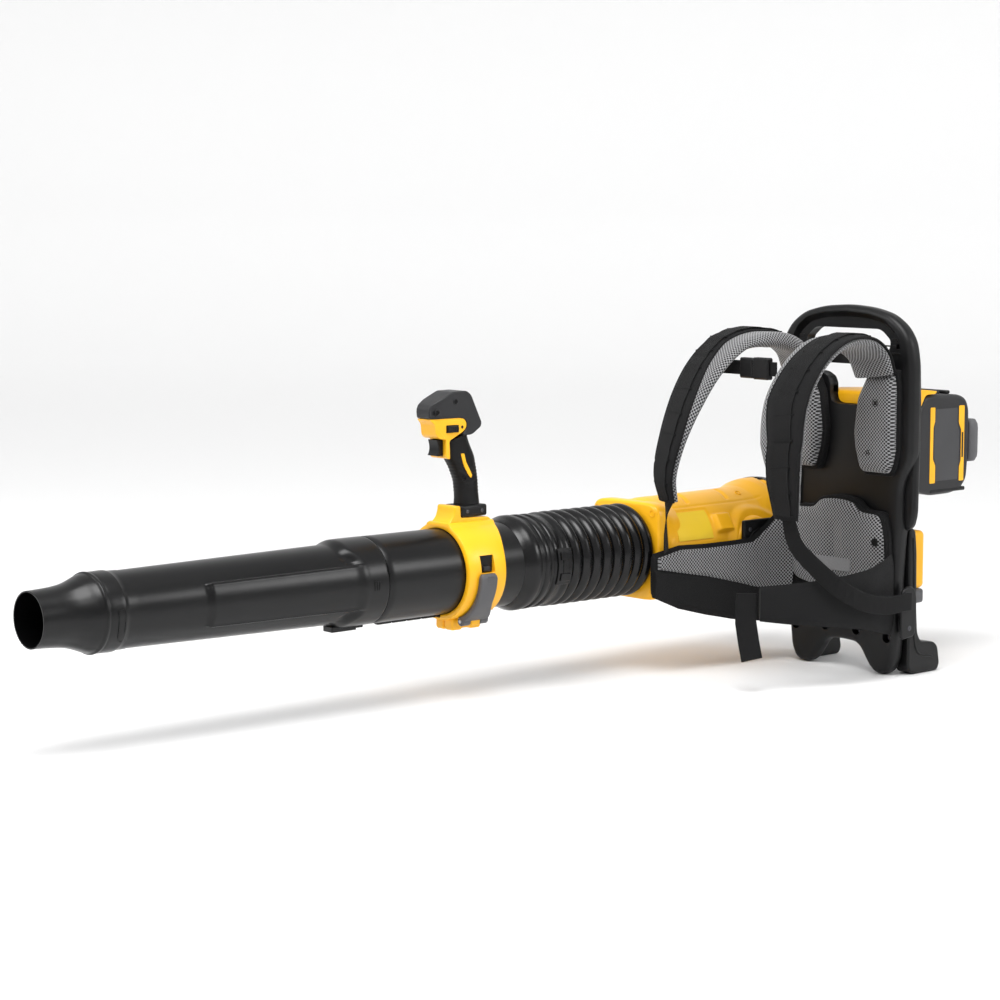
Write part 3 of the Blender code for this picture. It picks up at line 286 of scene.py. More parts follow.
def new_object(name, verts, faces):
    mesh = bpy.data.meshes.new(name)
    mesh.from_pydata(verts, [], faces)
    obj = bpy.data.objects.new(name, mesh)
    bpy.context.scene.collection.objects.link(obj)
    return obj


def face_outwards(mesh):
    bm = bmesh.new()
    bm.from_mesh(mesh)
    bmesh.ops.recalc_face_normals(bm, faces=bm.faces)
    bm.to_mesh(mesh)
    bm.free()


def shade(mesh, sharp=35.0):
    mesh.shade_smooth()
    mesh.set_sharp_from_angle(angle=radians(sharp))


def round_edges(obj, width, segments=3, angle=30.0):
    modifier = obj.modifiers.new("Bevel", "BEVEL")
    modifier.width = width
    modifier.segments = segments
    modifier.limit_method = "ANGLE"
    modifier.angle_limit = radians(angle)


def tie(obj, body, slot, *replaced):
    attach(obj, body)
    if replaced:
        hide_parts(*replaced)


def add_piece(name, verts, faces, look, body="backpack", replaces=(), uvs=None, sharp=35.0, bevel=None,
              blend=None):
    """Make a mesh piece, smooth it, and tie it to the CAD body that it moves with.

    bevel is (width, segments, angle); with body None the caller ties the piece itself after cutting it, but a
    piece given blend is tied to no body.
    """
    obj = new_object(name, [place(v) for v in verts], faces)
    mesh = obj.data
    if uvs is not None:
        layer = mesh.uv_layers.new(name="UVMap")
        for loop in mesh.loops:
            layer.data[loop.index].uv = uvs[loop.vertex_index]
    face_outwards(mesh)
    shade(mesh, sharp)
    mesh.materials.append(look)
    if bevel:
        round_edges(obj, *bevel)
    if blend:
        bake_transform(obj)
    elif body:
        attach(obj, body)
    if replaces:
        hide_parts(*replaces)
    return obj


def skin(rings, closed_loop=False, caps=True, wrap=True):
    """Faces over a list of rings that are flattened into one vertex list."""
    count = len(rings[0])
    verts = [tuple(point) for ring in rings for point in ring]
    faces = []
    last = len(rings) if closed_loop else len(rings) - 1
    for i in range(last):
        a, b = i * count, ((i + 1) % len(rings)) * count
        for j in range(count if wrap else count - 1):
            k = (j + 1) % count
            faces.append((a + j, a + k, b + k, b + j))
    if caps and not closed_loop:
        faces.append(tuple(range(count))[::-1])
        faces.append(tuple(range((len(rings) - 1) * count, len(rings) * count)))
    return verts, faces


def catmull(points, steps, closed=False):
    points = [Vector(p) for p in points]
    if closed:
        padded = [points[-1]] + points + [points[0], points[1]]
        spans = len(points)
    else:
        padded = [2 * points[0] - points[1]] + points + [2 * points[-1] - points[-2]]
        spans = len(points) - 1
    path = []
    for i in range(spans):
        a, b, c, d = padded[i:i + 4]
        for k in range(steps):
            t = k / steps
            path.append(0.5 * ((2 * b) + (c - a) * t + (2 * a - 5 * b + 4 * c - d) * t * t
                               + (3 * b - a - 3 * c + d) * t ** 3))
    if not closed:
        path.append(points[-1])
    return path


def rounded(outline, radius, steps=4):
    """A closed 2-D outline with every corner turned into an arc-like curve."""
    points = [Vector(p) for p in outline]
    result = []
    count = len(points)
    for i, corner in enumerate(points):
        before = points[i - 1] - corner
        after = points[(i + 1) % count] - corner
        reach = min(radius, 0.45 * before.length, 0.45 * after.length)
        start = corner + before.normalized() * reach
        end = corner + after.normalized() * reach
        for k in range(steps + 1):
            t = k / steps
            result.append((1 - t) ** 2 * start + 2 * t * (1 - t) * corner + t * t * end)
    return result


def mirrored(half):
    return half + [(-x, z) for x, z in reversed(half) if x > 0]


def plate_xz(name, outline, y0, y1, look, body="backpack", **more):
    rings = [[(p[0], y, p[1]) for p in outline] for y in (y0, y1)]
    return add_piece(name, *skin(rings), look, body, **more)


def plate_yz(name, outline, x0, x1, look, body="backpack", **more):
    rings = [[(x, p[0], p[1]) for p in outline] for x in sorted((x0, x1))]
    return add_piece(name, *skin(rings), look, body, **more)


def rectangle(u0, u1, v0, v1):
    return [(u0, v0), (u1, v0), (u1, v1), (u0, v1)]


def flat_uvs(outline):
    return [(p[0], p[1]) for p in outline] * 2


def block(name, low, high, look, body="backpack", **more):
    (x0, y0, z0), (x1, y1, z1) = low, high
    x0, x1 = sorted((x0, x1))
    rings = [[(x, y, z) for x, y in rectangle(x0, x1, y0, y1)] for z in (z0, z1)]
    return add_piece(name, *skin(rings), look, body, **more)


def spot(values, t):
    """Where t, from 0 to 1, falls in a list: an index and the share of the way to the next one."""
    where = t * (len(values) - 1)
    k = min(int(where), len(values) - 2)
    return k, where - k


def along(values, t):
    k, share = spot(values, t)
    return values[k] + (values[k + 1] - values[k]) * share


def ease(low, high, value):
    """0 before low, 1 after high, smooth between; low may be above high."""
    t = (value - low) / (high - low)
    t = min(1.0, max(0.0, t))
    return t * t * (3 - 2 * t)


def fill_steps(profile, step):
    """Insert points so that no stretch of a (y, radius) profile is longer than step."""
    dense = [profile[0]]
    for (y0, r0), (y1, r1) in zip(profile, profile[1:]):
        parts = max(1, ceil(hypot(y1 - y0, r1 - r0) / step))
        dense.extend((y0 + (y1 - y0) * k / parts, r0 + (r1 - r0) * k / parts) for k in range(1, parts + 1))
    return dense


def air_point(y, radius, angle):
    return (AIR_X + radius * cos(angle), y, AIR_Z + radius * sin(angle))


def air_ring(y, radius, sides):
    """A ring round the air path; radius is a number or a function of the angle."""
    angles = [2 * pi * i / sides for i in range(sides)]
    return [air_point(y, radius(angle) if callable(radius) else radius, angle) for angle in angles]


def turned(name, outer, inner, look, body="backpack", relief=None, segments=128, step=0.2, **more):
    """A hollow turned shell on the air path's axis; relief(angle in degrees, y) raises its outer face."""
    rings = []
    for y, radius in fill_steps(outer, step):
        def raised(angle, y=y, radius=radius):
            return radius + (relief((degrees(angle) + 180.0) % 360.0 - 180.0, y) if relief else 0.0)

        rings.append(air_ring(y, raised, segments))
    for y, radius in reversed(inner):
        rings.append(air_ring(y, radius, segments))
    return add_piece(name, *skin(rings, closed_loop=True), look, body, **more)


def wrap_patch(name, y0, y1, angle0, angle1, radius, thickness, look, body="backpack", **more):
    """A thin curved plate on the air path's round surface."""
    steps = max(2, int(abs(angle1 - angle0) / 3))
    rings = []
    for y in (y0, y1):
        outer, inner = [], []
        for k in range(steps + 1):
            t = k / steps
            angle = radians(angle0 + (angle1 - angle0) * t)
            outer.append(air_point(y, radius + thickness, angle))
            inner.append(air_point(y, radius - 0.001, angle))
        rings.append(outer + inner[::-1])
    return add_piece(name, *skin(rings), look, body, **more)


def circle(centre, turn, radius, height, sides):
    """Points round centre; turn is the rotation that takes Z to the circle's axis."""
    angles = (2 * pi * i / sides for i in range(sides))
    return [centre + turn @ Vector((radius * cos(a), radius * sin(a), height)) for a in angles]


def rod(name, start, end, radius, look, body="backpack", sides=24, **more):
    """A round bar with softly turned ends."""
    start, end = Vector(start), Vector(end)
    turn = (end - start).to_track_quat("Z", "Y")
    axis = (end - start).normalized()
    edge = min(0.2 * radius, 0.25 * (end - start).length)
    levels = ((start, radius - edge), (start + axis * edge, radius), (end - axis * edge, radius),
              (end, radius - edge))
    rings = [circle(centre, turn, r, 0.0, sides) for centre, r in levels]
    return add_piece(name, *skin(rings), look, body, **more)


def screw(name, centre, outward, radius, body="backpack", look=None):
    """A pan-head screw with a star-shaped recess."""
    centre, outward = Vector(centre), Vector(outward).normalized()
    head_look = look or SCREW_STEEL
    turn = outward.to_track_quat("Z", "Y")
    profile = [(1.0, -0.6), (1.0, 0.05), (0.86, 0.22), (0.55, 0.3), (0.38, 0.3), (0.3, 0.02), (0.05, 0.0)]
    rings = []
    for r, h in profile:
        ring = []
        for i in range(24):
            angle = 2 * pi * i / 24
            r_here = r
            if r <= 0.38:
                r_here = r * (0.75 + 0.25 * cos(6 * angle))
            offset = Vector((r_here * radius * cos(angle), r_here * radius * sin(angle), h * radius))
            ring.append(centre + turn @ offset)
        rings.append(ring)
    return add_piece(name, *skin(rings), head_look, body)


def ring_seat(name, centre, outward, radius, depth, look, body="backpack"):
    """A round countersunk well with a rolled lip, drawn round a screw or a rivet."""
    centre, outward = Vector(centre), Vector(outward).normalized()
    turn = outward.to_track_quat("Z", "Y")
    profile = [(1.28, -0.0004), (1.24, 0.0005), (1.12, 0.0008), (1.0, 0.0004), (0.93, -depth)]
    rings = [circle(centre, turn, r * radius, h, 32) for r, h in profile]
    return add_piece(name, *skin(rings), look, body)


# ---------------------------------------------------------------- swept soft forms
def ribbon(points, widths, across, steps):
    """Stations along a strap: centre, side direction, outward direction, half width, distance."""
    path = catmull(points, steps)
    across = [Vector(v).normalized() for v in across]
    stations = []
    gone = 0.0
    for i, centre in enumerate(path):
        t = i / (len(path) - 1)
        ahead = (path[min(i + 1, len(path) - 1)] - path[max(i - 1, 0)]).normalized()
        k, share = spot(across, t)
        side = across[k].lerp(across[k + 1], share)
        side = (side - ahead * side.dot(ahead)).normalized()
        half = 0.5 * along(widths, t)
        if i:
            gone += (centre - path[i - 1]).length
        stations.append((centre, side, ahead.cross(side), half, gone))
    return stations


def sweep(name, stations, section, look, body="backpack", **more):
    """Sweep section(half width, distance, t) -> [(across, outward)] along the stations."""
    rings, uvs = [], []
    for i, (centre, side, out, half, gone) in enumerate(stations):
        points = section(half, gone, i / (len(stations) - 1))
        rings.append([centre + side * s + out * h for s, h in points])
        length = 0.0
        for j, (s, h) in enumerate(points):
            if j:
                length += hypot(s - points[j - 1][0], h - points[j - 1][1])
            uvs.append((gone, length))
    return add_piece(name, *skin(rings), look, body, uvs=uvs, **more)


def padded_section(half, low, high, crown, count=15):
    """Cross-section of a padded strip from height low to high, with pulled-in round edges."""
    top, bottom = [], []
    for k in range(count):
        u = -1.0 + 2.0 * k / (count - 1)
        pull = (1.0 - abs(u) ** 4) ** 0.5 if abs(u) < 1 else 0.0
        top.append((u * half, 0.5 * (low + high) + (0.5 * (high - low) + crown * (1 - u * u)) * pull))
        bottom.append((u * half, 0.5 * (low + high) - 0.5 * (high - low) * pull))
    return top + bottom[-2:0:-1]


def tube_along(name, points, radius, look, body="backpack", sides=10, closed=False, **more):
    """A round cord, such as piping, along a list of points."""
    count = len(points)
    rings, uvs = [], []
    gone = 0.0
    lift = Vector((0.0, 0.0, 1.0))
    for i, centre in enumerate(points):
        if closed:
            ahead = points[(i + 1) % count] - points[i - 1]
        else:
            ahead = points[min(i + 1, count - 1)] - points[max(i - 1, 0)]
        ahead = ahead.normalized()
        side = ahead.cross(lift)
        side = side.normalized() if side.length > 0.1 else ahead.cross(Vector((1.0, 0.0, 0.0))).normalized()
        up = side.cross(ahead)
        if i:
            gone += (centre - points[i - 1]).length
        ring = []
        for j in range(sides):
            angle = 2 * pi * j / sides
            ring.append(centre + side * radius * cos(angle) + up * radius * sin(angle))
            uvs.append((gone, j * 2 * pi * radius / sides))
        rings.append(ring)
    return add_piece(name, *skin(rings, closed_loop=closed), look, body, uvs=uvs, **more)


def cushion(name, outline, to_world, height, look, body="backpack", rings_in=12, power=3.2, shape=None,
            **more):
    """A crowned pad over a star-shaped 2-D outline; to_world(u, v, h) puts it in place."""
    middle = sum((Vector(p) for p in outline), Vector((0.0, 0.0))) / len(outline)
    verts, uvs, faces = [], [], []
    count = len(outline)
    for k in range(rings_in + 1):
        scale = 1.0 - (k / (rings_in + 0.35)) ** 1.7
        rise = height * (1.0 - scale ** power) ** 0.5
        for p in outline:
            at = middle + (Vector(p) - middle) * scale
            lift = rise + (shape(at.x, at.y) * (1.0 - scale ** 2) if shape else 0.0)
            verts.append(to_world(at.x, at.y, lift))
            uvs.append((at.x, at.y))
    for k in range(rings_in):
        for j in range(count):
            n = (j + 1) % count
            faces.append((k * count + j, k * count + n, (k + 1) * count + n, (k + 1) * count + j))
    faces.append(tuple(range(rings_in * count, (rings_in + 1) * count)))
    base = len(verts)
    for p in outline:
        verts.append(to_world(p[0], p[1], -0.002))
        uvs.append((p[0], p[1]))
    for j in range(count):
        n = (j + 1) % count
        faces.append((base + j, base + n, n, j))
    faces.append(tuple(range(base, base + count))[::-1])
    return add_piece(name, verts, faces, look, body, uvs=uvs, sharp=70.0, **more)


# ================================================================ harness frame
FRAME_OUTLINE = [
    (0.0, 0.533), (0.045, 0.53), (0.082, 0.521), (0.106, 0.505), (0.121, 0.484), (0.1265, 0.455),
    (0.127, 0.4), (0.1265, 0.315), (0.108, 0.277), (0.1085, 0.214), (0.106, 0.19), (0.103, 0.14),
    (0.103, 0.06), (0.099, 0.022), (0.091, 0.006), (0.08, 0.0), (0.066, 0.0), (0.054, 0.008),
    (0.036, 0.034), (0.026, 0.041), (0.0, 0.043),
]
SHELL_OUTLINE = [
    (0.0, 0.526), (0.045, 0.524), (0.08, 0.515), (0.104, 0.499), (0.118, 0.478), (0.1235, 0.455),
    (0.1255, 0.4), (0.125, 0.315), (0.1235, 0.235), (0.118, 0.216), (0.104, 0.21), (0.103, 0.18),
    (0.0, 0.178),
]
PANEL_OUTLINE = [
    (0.0, 0.519), (0.042, 0.5165), (0.072, 0.5095), (0.091, 0.495), (0.101, 0.476), (0.105, 0.45),
    (0.1062, 0.4285), (0.1072, 0.3172), (0.0865, 0.2839), (0.088, 0.1973), (0.084, 0.14), (0.084, 0.074),
    (0.076, 0.068), (0.0, 0.068),
]
HANDLE_OPENING = [
    (0.0, 0.499), (0.058, 0.499), (0.066, 0.496), (0.078, 0.486), (0.08, 0.482), (0.08, 0.474),
    (0.076, 0.468), (0.07, 0.466), (0.0, 0.466),
]
UPPER_OPENING = [
    (0.0, 0.447), (0.084, 0.447), (0.089, 0.443), (0.088, 0.437), (0.05, 0.433), (0.038, 0.427),
    (0.033, 0.417), (0.033, 0.4), (0.03, 0.391), (0.022, 0.388), (0.0, 0.388),
]


def boolean_tool(name, rings):
    """A Boolean cutter over a list of rings; carve() removes it again."""
    tool = new_object(name, *skin([[place(p) for p in ring] for ring in rings]))
    face_outwards(tool.data)
    return tool


def cutter(name, outline, y0, y1):
    return boolean_tool(name, [[(p[0], y, p[1]) for p in outline] for y in (y0, y1)])


def carve(obj, cutters, *bevel):
    """Cut obj, bake the cuts into its mesh, then round the new edges; the cutters are removed."""
    for tool in cutters:
        modifier = obj.modifiers.new("Cut", "BOOLEAN")
        modifier.operation = "DIFFERENCE"
        modifier.solver = "EXACT"
        modifier.object = tool
    graph = bpy.context.evaluated_depsgraph_get()
    carved = bpy.data.meshes.new_from_object(obj.evaluated_get(graph))
    looks = list(obj.data.materials)
    obj.modifiers.clear()
    obj.data = carved
    if not carved.materials:
        for look in looks:
            carved.materials.append(look)
    shade(carved)
    for tool in cutters:
        bpy.data.objects.remove(tool, do_unlink=True)
    round_edges(obj, *bevel)


def soft_outline(half, radius=0.01, steps=5):
    return rounded(mirrored(half), radius, steps)


def panel_cutter():
    """The panel's recess, with walls that slope inwards."""
    outline = soft_outline(PANEL_OUTLINE, 0.007)
    middle = Vector((0.0, 0.3))
    levels = ((0.0, 1.06), (FRAME_FRONT - 0.002, 1.03), (FRAME_FRONT + PANEL_DEPTH, 0.985))
    return boolean_tool("cut_panel", [
        [(middle.x + (p[0] - middle.x) * scale, y, middle.y + (p[1] - middle.y) * scale) for p in outline]
        for y, scale in levels])


FRAME_SCREWS = ((0.088, 0.055), (0.03, 0.06))
STRAP_SLOT_X = 0.097
STRAP_SLOT_Z = 0.475
PANEL_DEPTH = 0.0075
WELL_RADIUS = 0.0075


def build_frame():
    frame_obj = plate_xz("harness_frame", soft_outline(FRAME_OUTLINE, 0.016, 5), FRAME_FRONT, FRAME_BACK,
                         BLACK, None, bevel=(0.0085, 5, 60.0))
    tools = [
        panel_cutter(),
        cutter("cut_handle", soft_outline(HANDLE_OPENING, 0.005), 0.0, 0.08),
        cutter("cut_upper", soft_outline(UPPER_OPENING, 0.004), 0.0, 0.08),
    ]
    for side in (-1, 1):
        slot = rectangle(side * STRAP_SLOT_X - 0.0065, side * STRAP_SLOT_X + 0.0065, STRAP_SLOT_Z - 0.0035,
                         STRAP_SLOT_Z + 0.0035)
        tools.append(cutter("cut_slot", rounded(slot, 0.002, 3), 0.0, 0.08))
        for x, z in FRAME_SCREWS:
            well = [(side * x + WELL_RADIUS * cos(a), z + WELL_RADIUS * sin(a))
                    for a in (2 * pi * k / 24 for k in range(24))]
            tools.append(cutter("cut_well", well, 0.0, FRAME_FRONT + 0.01))
    carve(frame_obj, tools, 0.0022, 3, 50.0)
    tie(frame_obj, "backpack", "frame_black", "back_frame")
    panel_front = FRAME_FRONT + PANEL_DEPTH
    for side in (-1, 1):
        for x, z in FRAME_SCREWS:
            screw("frame_screw", (side * x, FRAME_FRONT + 0.0085, z), (0, -1, 0), 0.0048)
        for z in (0.464, 0.4845):
            block("bar_step", (side * 0.083, panel_front - 0.0012, z),
                  (side * 0.1, panel_front + 0.001, z + 0.0022), BLACK, bevel=(0.0006, 2))
    back_shell = plate_xz("harness_shell", soft_outline(SHELL_OUTLINE, 0.01, 5), 0.033, FRAME_BACK + 0.0015,
                          BLACK, None, bevel=(0.005, 4, 60.0))
    tools = [
        cutter("cut_handle_back", soft_outline(HANDLE_OPENING, 0.005), 0.0, 0.08),
        cutter("cut_upper_back", soft_outline(UPPER_OPENING, 0.004), 0.0, 0.08),
    ]
    carve(back_shell, tools, 0.0015, 2, 50.0)
    tie(back_shell, "backpack", "frame_black")
    threads = [Vector((x, FRAME_FRONT + 0.0015 - 0.0035 * (1 - (x / STRAP_SLOT_X) ** 2),
                       0.4765 - 0.0006 * x / STRAP_SLOT_X))
               for x in (-STRAP_SLOT_X + 0.0097 * k for k in range(21))]
    tube_along("handle_thread", threads, 0.0011, WEBBING, sides=8)


def build_feet():
    leg = [
        (FRAME_BACK + 0.0003, 0.215), (0.058, 0.212), (0.062, 0.18), (0.0635, 0.1), (0.066, 0.06),
        (0.074, 0.047), (0.104, 0.043), (0.112, 0.036), (0.117, 0.01), (0.112, 0.0),
        (0.06, 0.0), (0.05, 0.004), (FRAME_BACK + 0.0003, 0.012),
    ]
    for side, name in ((1, "rear_foot_right"), (-1, "rear_foot_left")):
        plate_yz("leg_" + name, rounded(leg, 0.009, 5), side * 0.082, side * 0.108, BLACK, replaces=(name,),
                 bevel=(0.0055, 4, 60.0))
        block("sole_" + name, (side * 0.0855, 0.064, 0.0002), (side * 0.1045, 0.108, 0.004), RUBBER,
              bevel=(0.001,))
        outer = side * 0.108
        rib = [Vector((outer, y, z)) for y, z in catmull([(0.0525, 0.2), (0.0555, 0.15), (0.0565, 0.1),
                                                          (0.058, 0.055), (0.068, 0.03), (0.1, 0.022)], 8)]
        tube_along("leg_rib", rib, 0.0016, BLACK, sides=12)


def build_anchors():
    ear = [(0.014, 0.056), (0.044, 0.06), (0.047, 0.116), (0.042, 0.129), (0.03, 0.134),
           (0.018, 0.129), (0.012, 0.116)]
    for side, name in ((1, "strap_anchor_right"), (-1, "strap_anchor_left")):
        plate_yz("ear_" + name, rounded(ear, 0.007, 5), side * 0.1165, side * 0.1215, BLACK, replaces=(name,),
                 bevel=(0.0018, 3, 50.0))
        block("ear_root", (side * 0.103, 0.026, 0.064), (side * 0.1175, 0.042, 0.086), BLACK, bevel=(0.002,))
        screw("ear_screw", (side * 0.1213, 0.031, 0.072), (side, 0, 0), 0.0038)


# ================================================================ battery, dock, control unit
def build_dock():
    block("dock_body", (-0.042, FRAME_BACK, 0.246), (0.042, 0.112, 0.3775), BLACK,
          replaces=("battery_dock",), bevel=(0.006, 4))
    hood = [(FRAME_BACK, 0.378), (0.138, 0.378), (0.15, 0.3978), (0.172, 0.398), (0.176, 0.402),
            (0.15, 0.405), (0.062, 0.409), (FRAME_BACK, 0.406)]
    plate_yz("dock_hood_shell", rounded(hood, 0.006, 4), -0.0455, 0.0455, YELLOW,
             replaces=("dock_hood",), bevel=(0.003, 4, 50.0))
    for side in (-1, 1):
        block("hood_cheek", (side * 0.045, 0.07, 0.381), (side * 0.047, 0.128, 0.399), BLACK, bevel=(0.0008,))
    block("hood_button", (-0.014, 0.095, 0.406), (0.014, 0.12, 0.4105), BLACK, bevel=(0.0015,))
    for z in (0.262, 0.29, 0.318, 0.346):
        block("dock_rib", (-0.0435, 0.06, z), (0.0435, 0.1, z + 0.004), BLACK, bevel=(0.001,))


def build_battery():
    half = 0.044
    side_outline = [
        (0.1155, 0.262), (0.15, 0.251), (0.17, 0.2465), (0.215, 0.247), (0.238, 0.252), (0.2515, 0.266),
        (0.255, 0.3), (0.255, 0.372), (0.248, 0.388), (0.232, 0.3945), (0.1785, 0.3975), (0.1515, 0.3965),
        (0.139, 0.3765), (0.1155, 0.3765),
    ]
    plate_yz("battery_shell", rounded(side_outline, 0.009, 5), -half, half, DARK_GREY, "battery",
             replaces=("battery_pack",), bevel=(0.0065, 5, 50.0))
    for side in (-1, 1):
        face = side * half
        sunk = face - side * 0.001
        for flip, name in ((0, "rear"), (1, "front")):
            stripe = [(0.235, 0.265), (0.2415, 0.265), (0.2415, 0.378), (0.229, 0.378), (0.229, 0.352),
                      (0.2345, 0.342), (0.2345, 0.295), (0.231, 0.286), (0.231, 0.265)]
            if flip:
                stripe = [(0.4045 - y, 0.643 - z) for y, z in stripe]
            plate_yz(f"battery_stripe_{name}", rounded(stripe, 0.002, 3), sunk, face + side * 0.0006, YELLOW,
                     "battery", bevel=(0.0003, 2))
        field = [(0.177, 0.268), (0.2275, 0.268), (0.23, 0.296), (0.23, 0.34), (0.2255, 0.35),
                 (0.2255, 0.375), (0.175, 0.375), (0.1725, 0.347), (0.1725, 0.303), (0.177, 0.293)]
        plate_yz("battery_field", rounded(field, 0.002, 3), sunk, face + side * 0.0003, FIELD_GREY, "battery",
                 bevel=(0.0002, 2))
        block("battery_vent", (sunk, 0.2355, 0.3), (face + side * 0.001, 0.2395, 0.338), BLACK, "battery",
              bevel=(0.0008,))
    for y in (0.19, 0.214):
        block("battery_lug", (-0.03, y, 0.395), (0.03, y + 0.011, 0.4005), BLACK, "battery", bevel=(0.0022,))
    block("battery_bottom_band", (-0.0445, 0.165, 0.25), (0.0445, 0.246, 0.256), BLACK, "battery",
          bevel=(0.002,))


def build_latch():
    outline = [
        (-0.056, 0.092), (-0.049, 0.092), (-0.048, 0.24), (-0.046, 0.252), (-0.038, 0.2575),
        (0.042, 0.2575), (0.0455, 0.264), (0.044, 0.276), (0.034, 0.28), (0.01, 0.28),
        (-0.01, 0.274), (-0.04, 0.27), (-0.052, 0.262), (-0.056, 0.245),
    ]
    soft = rounded(outline, 0.004, 4)
    rings = []
    for z, shrink in ((0.292, 0.9), (0.299, 0.985), (0.306, 1.0), (0.3415, 1.0), (0.3485, 0.985),
                      (0.3555, 0.9)):
        ring = []
        for p in soft:
            y = p[1]
            if y > 0.25:
                y = 0.2575 + (y - 0.2575) * (shrink if y > 0.2575 else 1.0)
            x = p[0] * (shrink if p[0] > 0 else 1.0)
            ring.append((x, y, z))
        rings.append(ring)
    add_piece("latch_arm", *skin(rings), MID_GREY, "latch", replaces=("battery_latch",), bevel=(0.0012, 3))
    for k in range(4):
        z = 0.312 + 0.008 * k
        block("latch_grip", (0.012, 0.279, z), (0.036, 0.2808, z + 0.003), MID_GREY, "latch", bevel=(0.0006,))


def build_controller():
    half, back = 0.08, 0.114
    block("control_case", (-half, FRAME_BACK, 0.0965), (half, 0.0862, 0.2035), BLACK,
          replaces=("controller_case",), bevel=(0.008, 5))
    block("control_cover", (-half, 0.0863, 0.118), (half, back, 0.2035), YELLOW,
          replaces=("controller_cover",), bevel=(0.008, 5))
    block("control_skirt", (-half, 0.0863, 0.0965), (half, back - 0.0015, 0.1177), MID_GREY,
          replaces=("controller_skirt",), bevel=(0.0045, 4))
    for k in range(7):
        x = -0.036 + 0.012 * k
        block("cover_fin", (x - 0.0016, back - 0.003, 0.132), (x + 0.0016, back + 0.0012, 0.188), YELLOW,
              bevel=(0.0008,))
    for x in (-0.066, 0.066):
        for z in (0.131, 0.19):
            ring_seat("cover_well", (x, back - 0.0002, z), (0, 1, 0), 0.0042, 0.003, YELLOW)
            screw("cover_screw", (x, back - 0.0022, z), (0, 1, 0), 0.0034)


# ================================================================ fan unit
MOUNT_Y = -0.034
MOUNT_Z = 0.176


def housing_relief(angle, y):
    """Slanted and lengthwise grooves, a raised boss, the mounting shoulder and the label's recess."""
    rise = 0.0
    for middle in (-0.13, -0.048, 0.04):
        lean = middle + 0.0004 * (angle - 73.0)
        on = ease(58.0, 61.5, angle) * ease(92.0, 88.0, angle)
        rise -= 0.003 * on * ease(0.0042, 0.0016, abs(y - lean))
    boss = (ease(15.5, 19.5, angle) * ease(40.0, 35.5, angle)
            * ease(-0.1095, -0.1045, y) * ease(-0.074, -0.079, y))
    rise += 0.0075 * boss
    height = angle * radians(1.0) * HOUSING_RADIUS
    reach = hypot(y + 0.03, height * 0.92)
    shoulder = ease(0.058, 0.044, reach) * ease(60.0, 45.0, abs(angle))
    rise += 0.0065 * shoulder
    rise -= 0.0011 * ease(1.9, 0.5, abs(angle - 54.0)) * ease(0.012, 0.006, y)
    panel = (ease(8.0, 10.0, angle) * ease(50.0, 48.0, angle)
             * ease(-0.193, -0.191, y) * ease(-0.11, -0.112, y))
    rise -= 0.0007 * panel
    return rise


def build_housing():
    r = HOUSING_RADIUS
    outer = [(FLANGE_END + 0.0003, r - 0.004), (-0.2, r - 0.002), (-0.19, r - 0.0005), (-0.11, r),
             (-0.02, r + 0.001), (0.0, r + 0.003), (0.012, r + 0.0068), (0.022, r + 0.0105),
             (0.032, r + 0.0121), (0.042, r + 0.0125), (HOUSING_END - 0.001, r + 0.0124),
             (HOUSING_END, r + 0.0112)]
    inner = [(FLANGE_END + 0.0003, 0.058), (-0.175, 0.064), (-0.12, 0.069), (-0.04, 0.069), (0.0, 0.0705),
             (0.022, r + 0.007), (HOUSING_END, r + 0.009)]
    turned("housing_shell", outer, inner, YELLOW, relief=housing_relief, segments=260, step=0.0022,
           replaces=("fan_housing",), sharp=50.0)
    sleeve_rings = []
    for x, radius in ((-0.129, 0.03), (-0.12, 0.0305), (-0.119, 0.032), (-0.1186, 0.035), (-0.119, 0.0385),
                      (-0.121, 0.0402), (-0.129, 0.042), (-0.142, 0.044)):
        sleeve_rings.append([(x, MOUNT_Y + radius * cos(a), MOUNT_Z + radius * sin(a))
                             for a in (2 * pi * k / 64 for k in range(64))])
    add_piece("mount_ring", *skin(sleeve_rings, closed_loop=True), YELLOW, sharp=50.0)
    wrap_patch("housing_label", -0.187, -0.116, 11.0, 46.0, r, 0.0003, LABEL)
    for angle in (radians(68.0), radians(-106.0), radians(194.0)):
        ring_seat("housing_well", air_point(-0.02, r + 0.0016, angle), (cos(angle), 0.0, sin(angle)), 0.004,
                  0.003, YELLOW)


def squared(angle, half, power):
    c, s = abs(cos(angle)), abs(sin(angle))
    return half / (c ** power + s ** power) ** (1 / power)


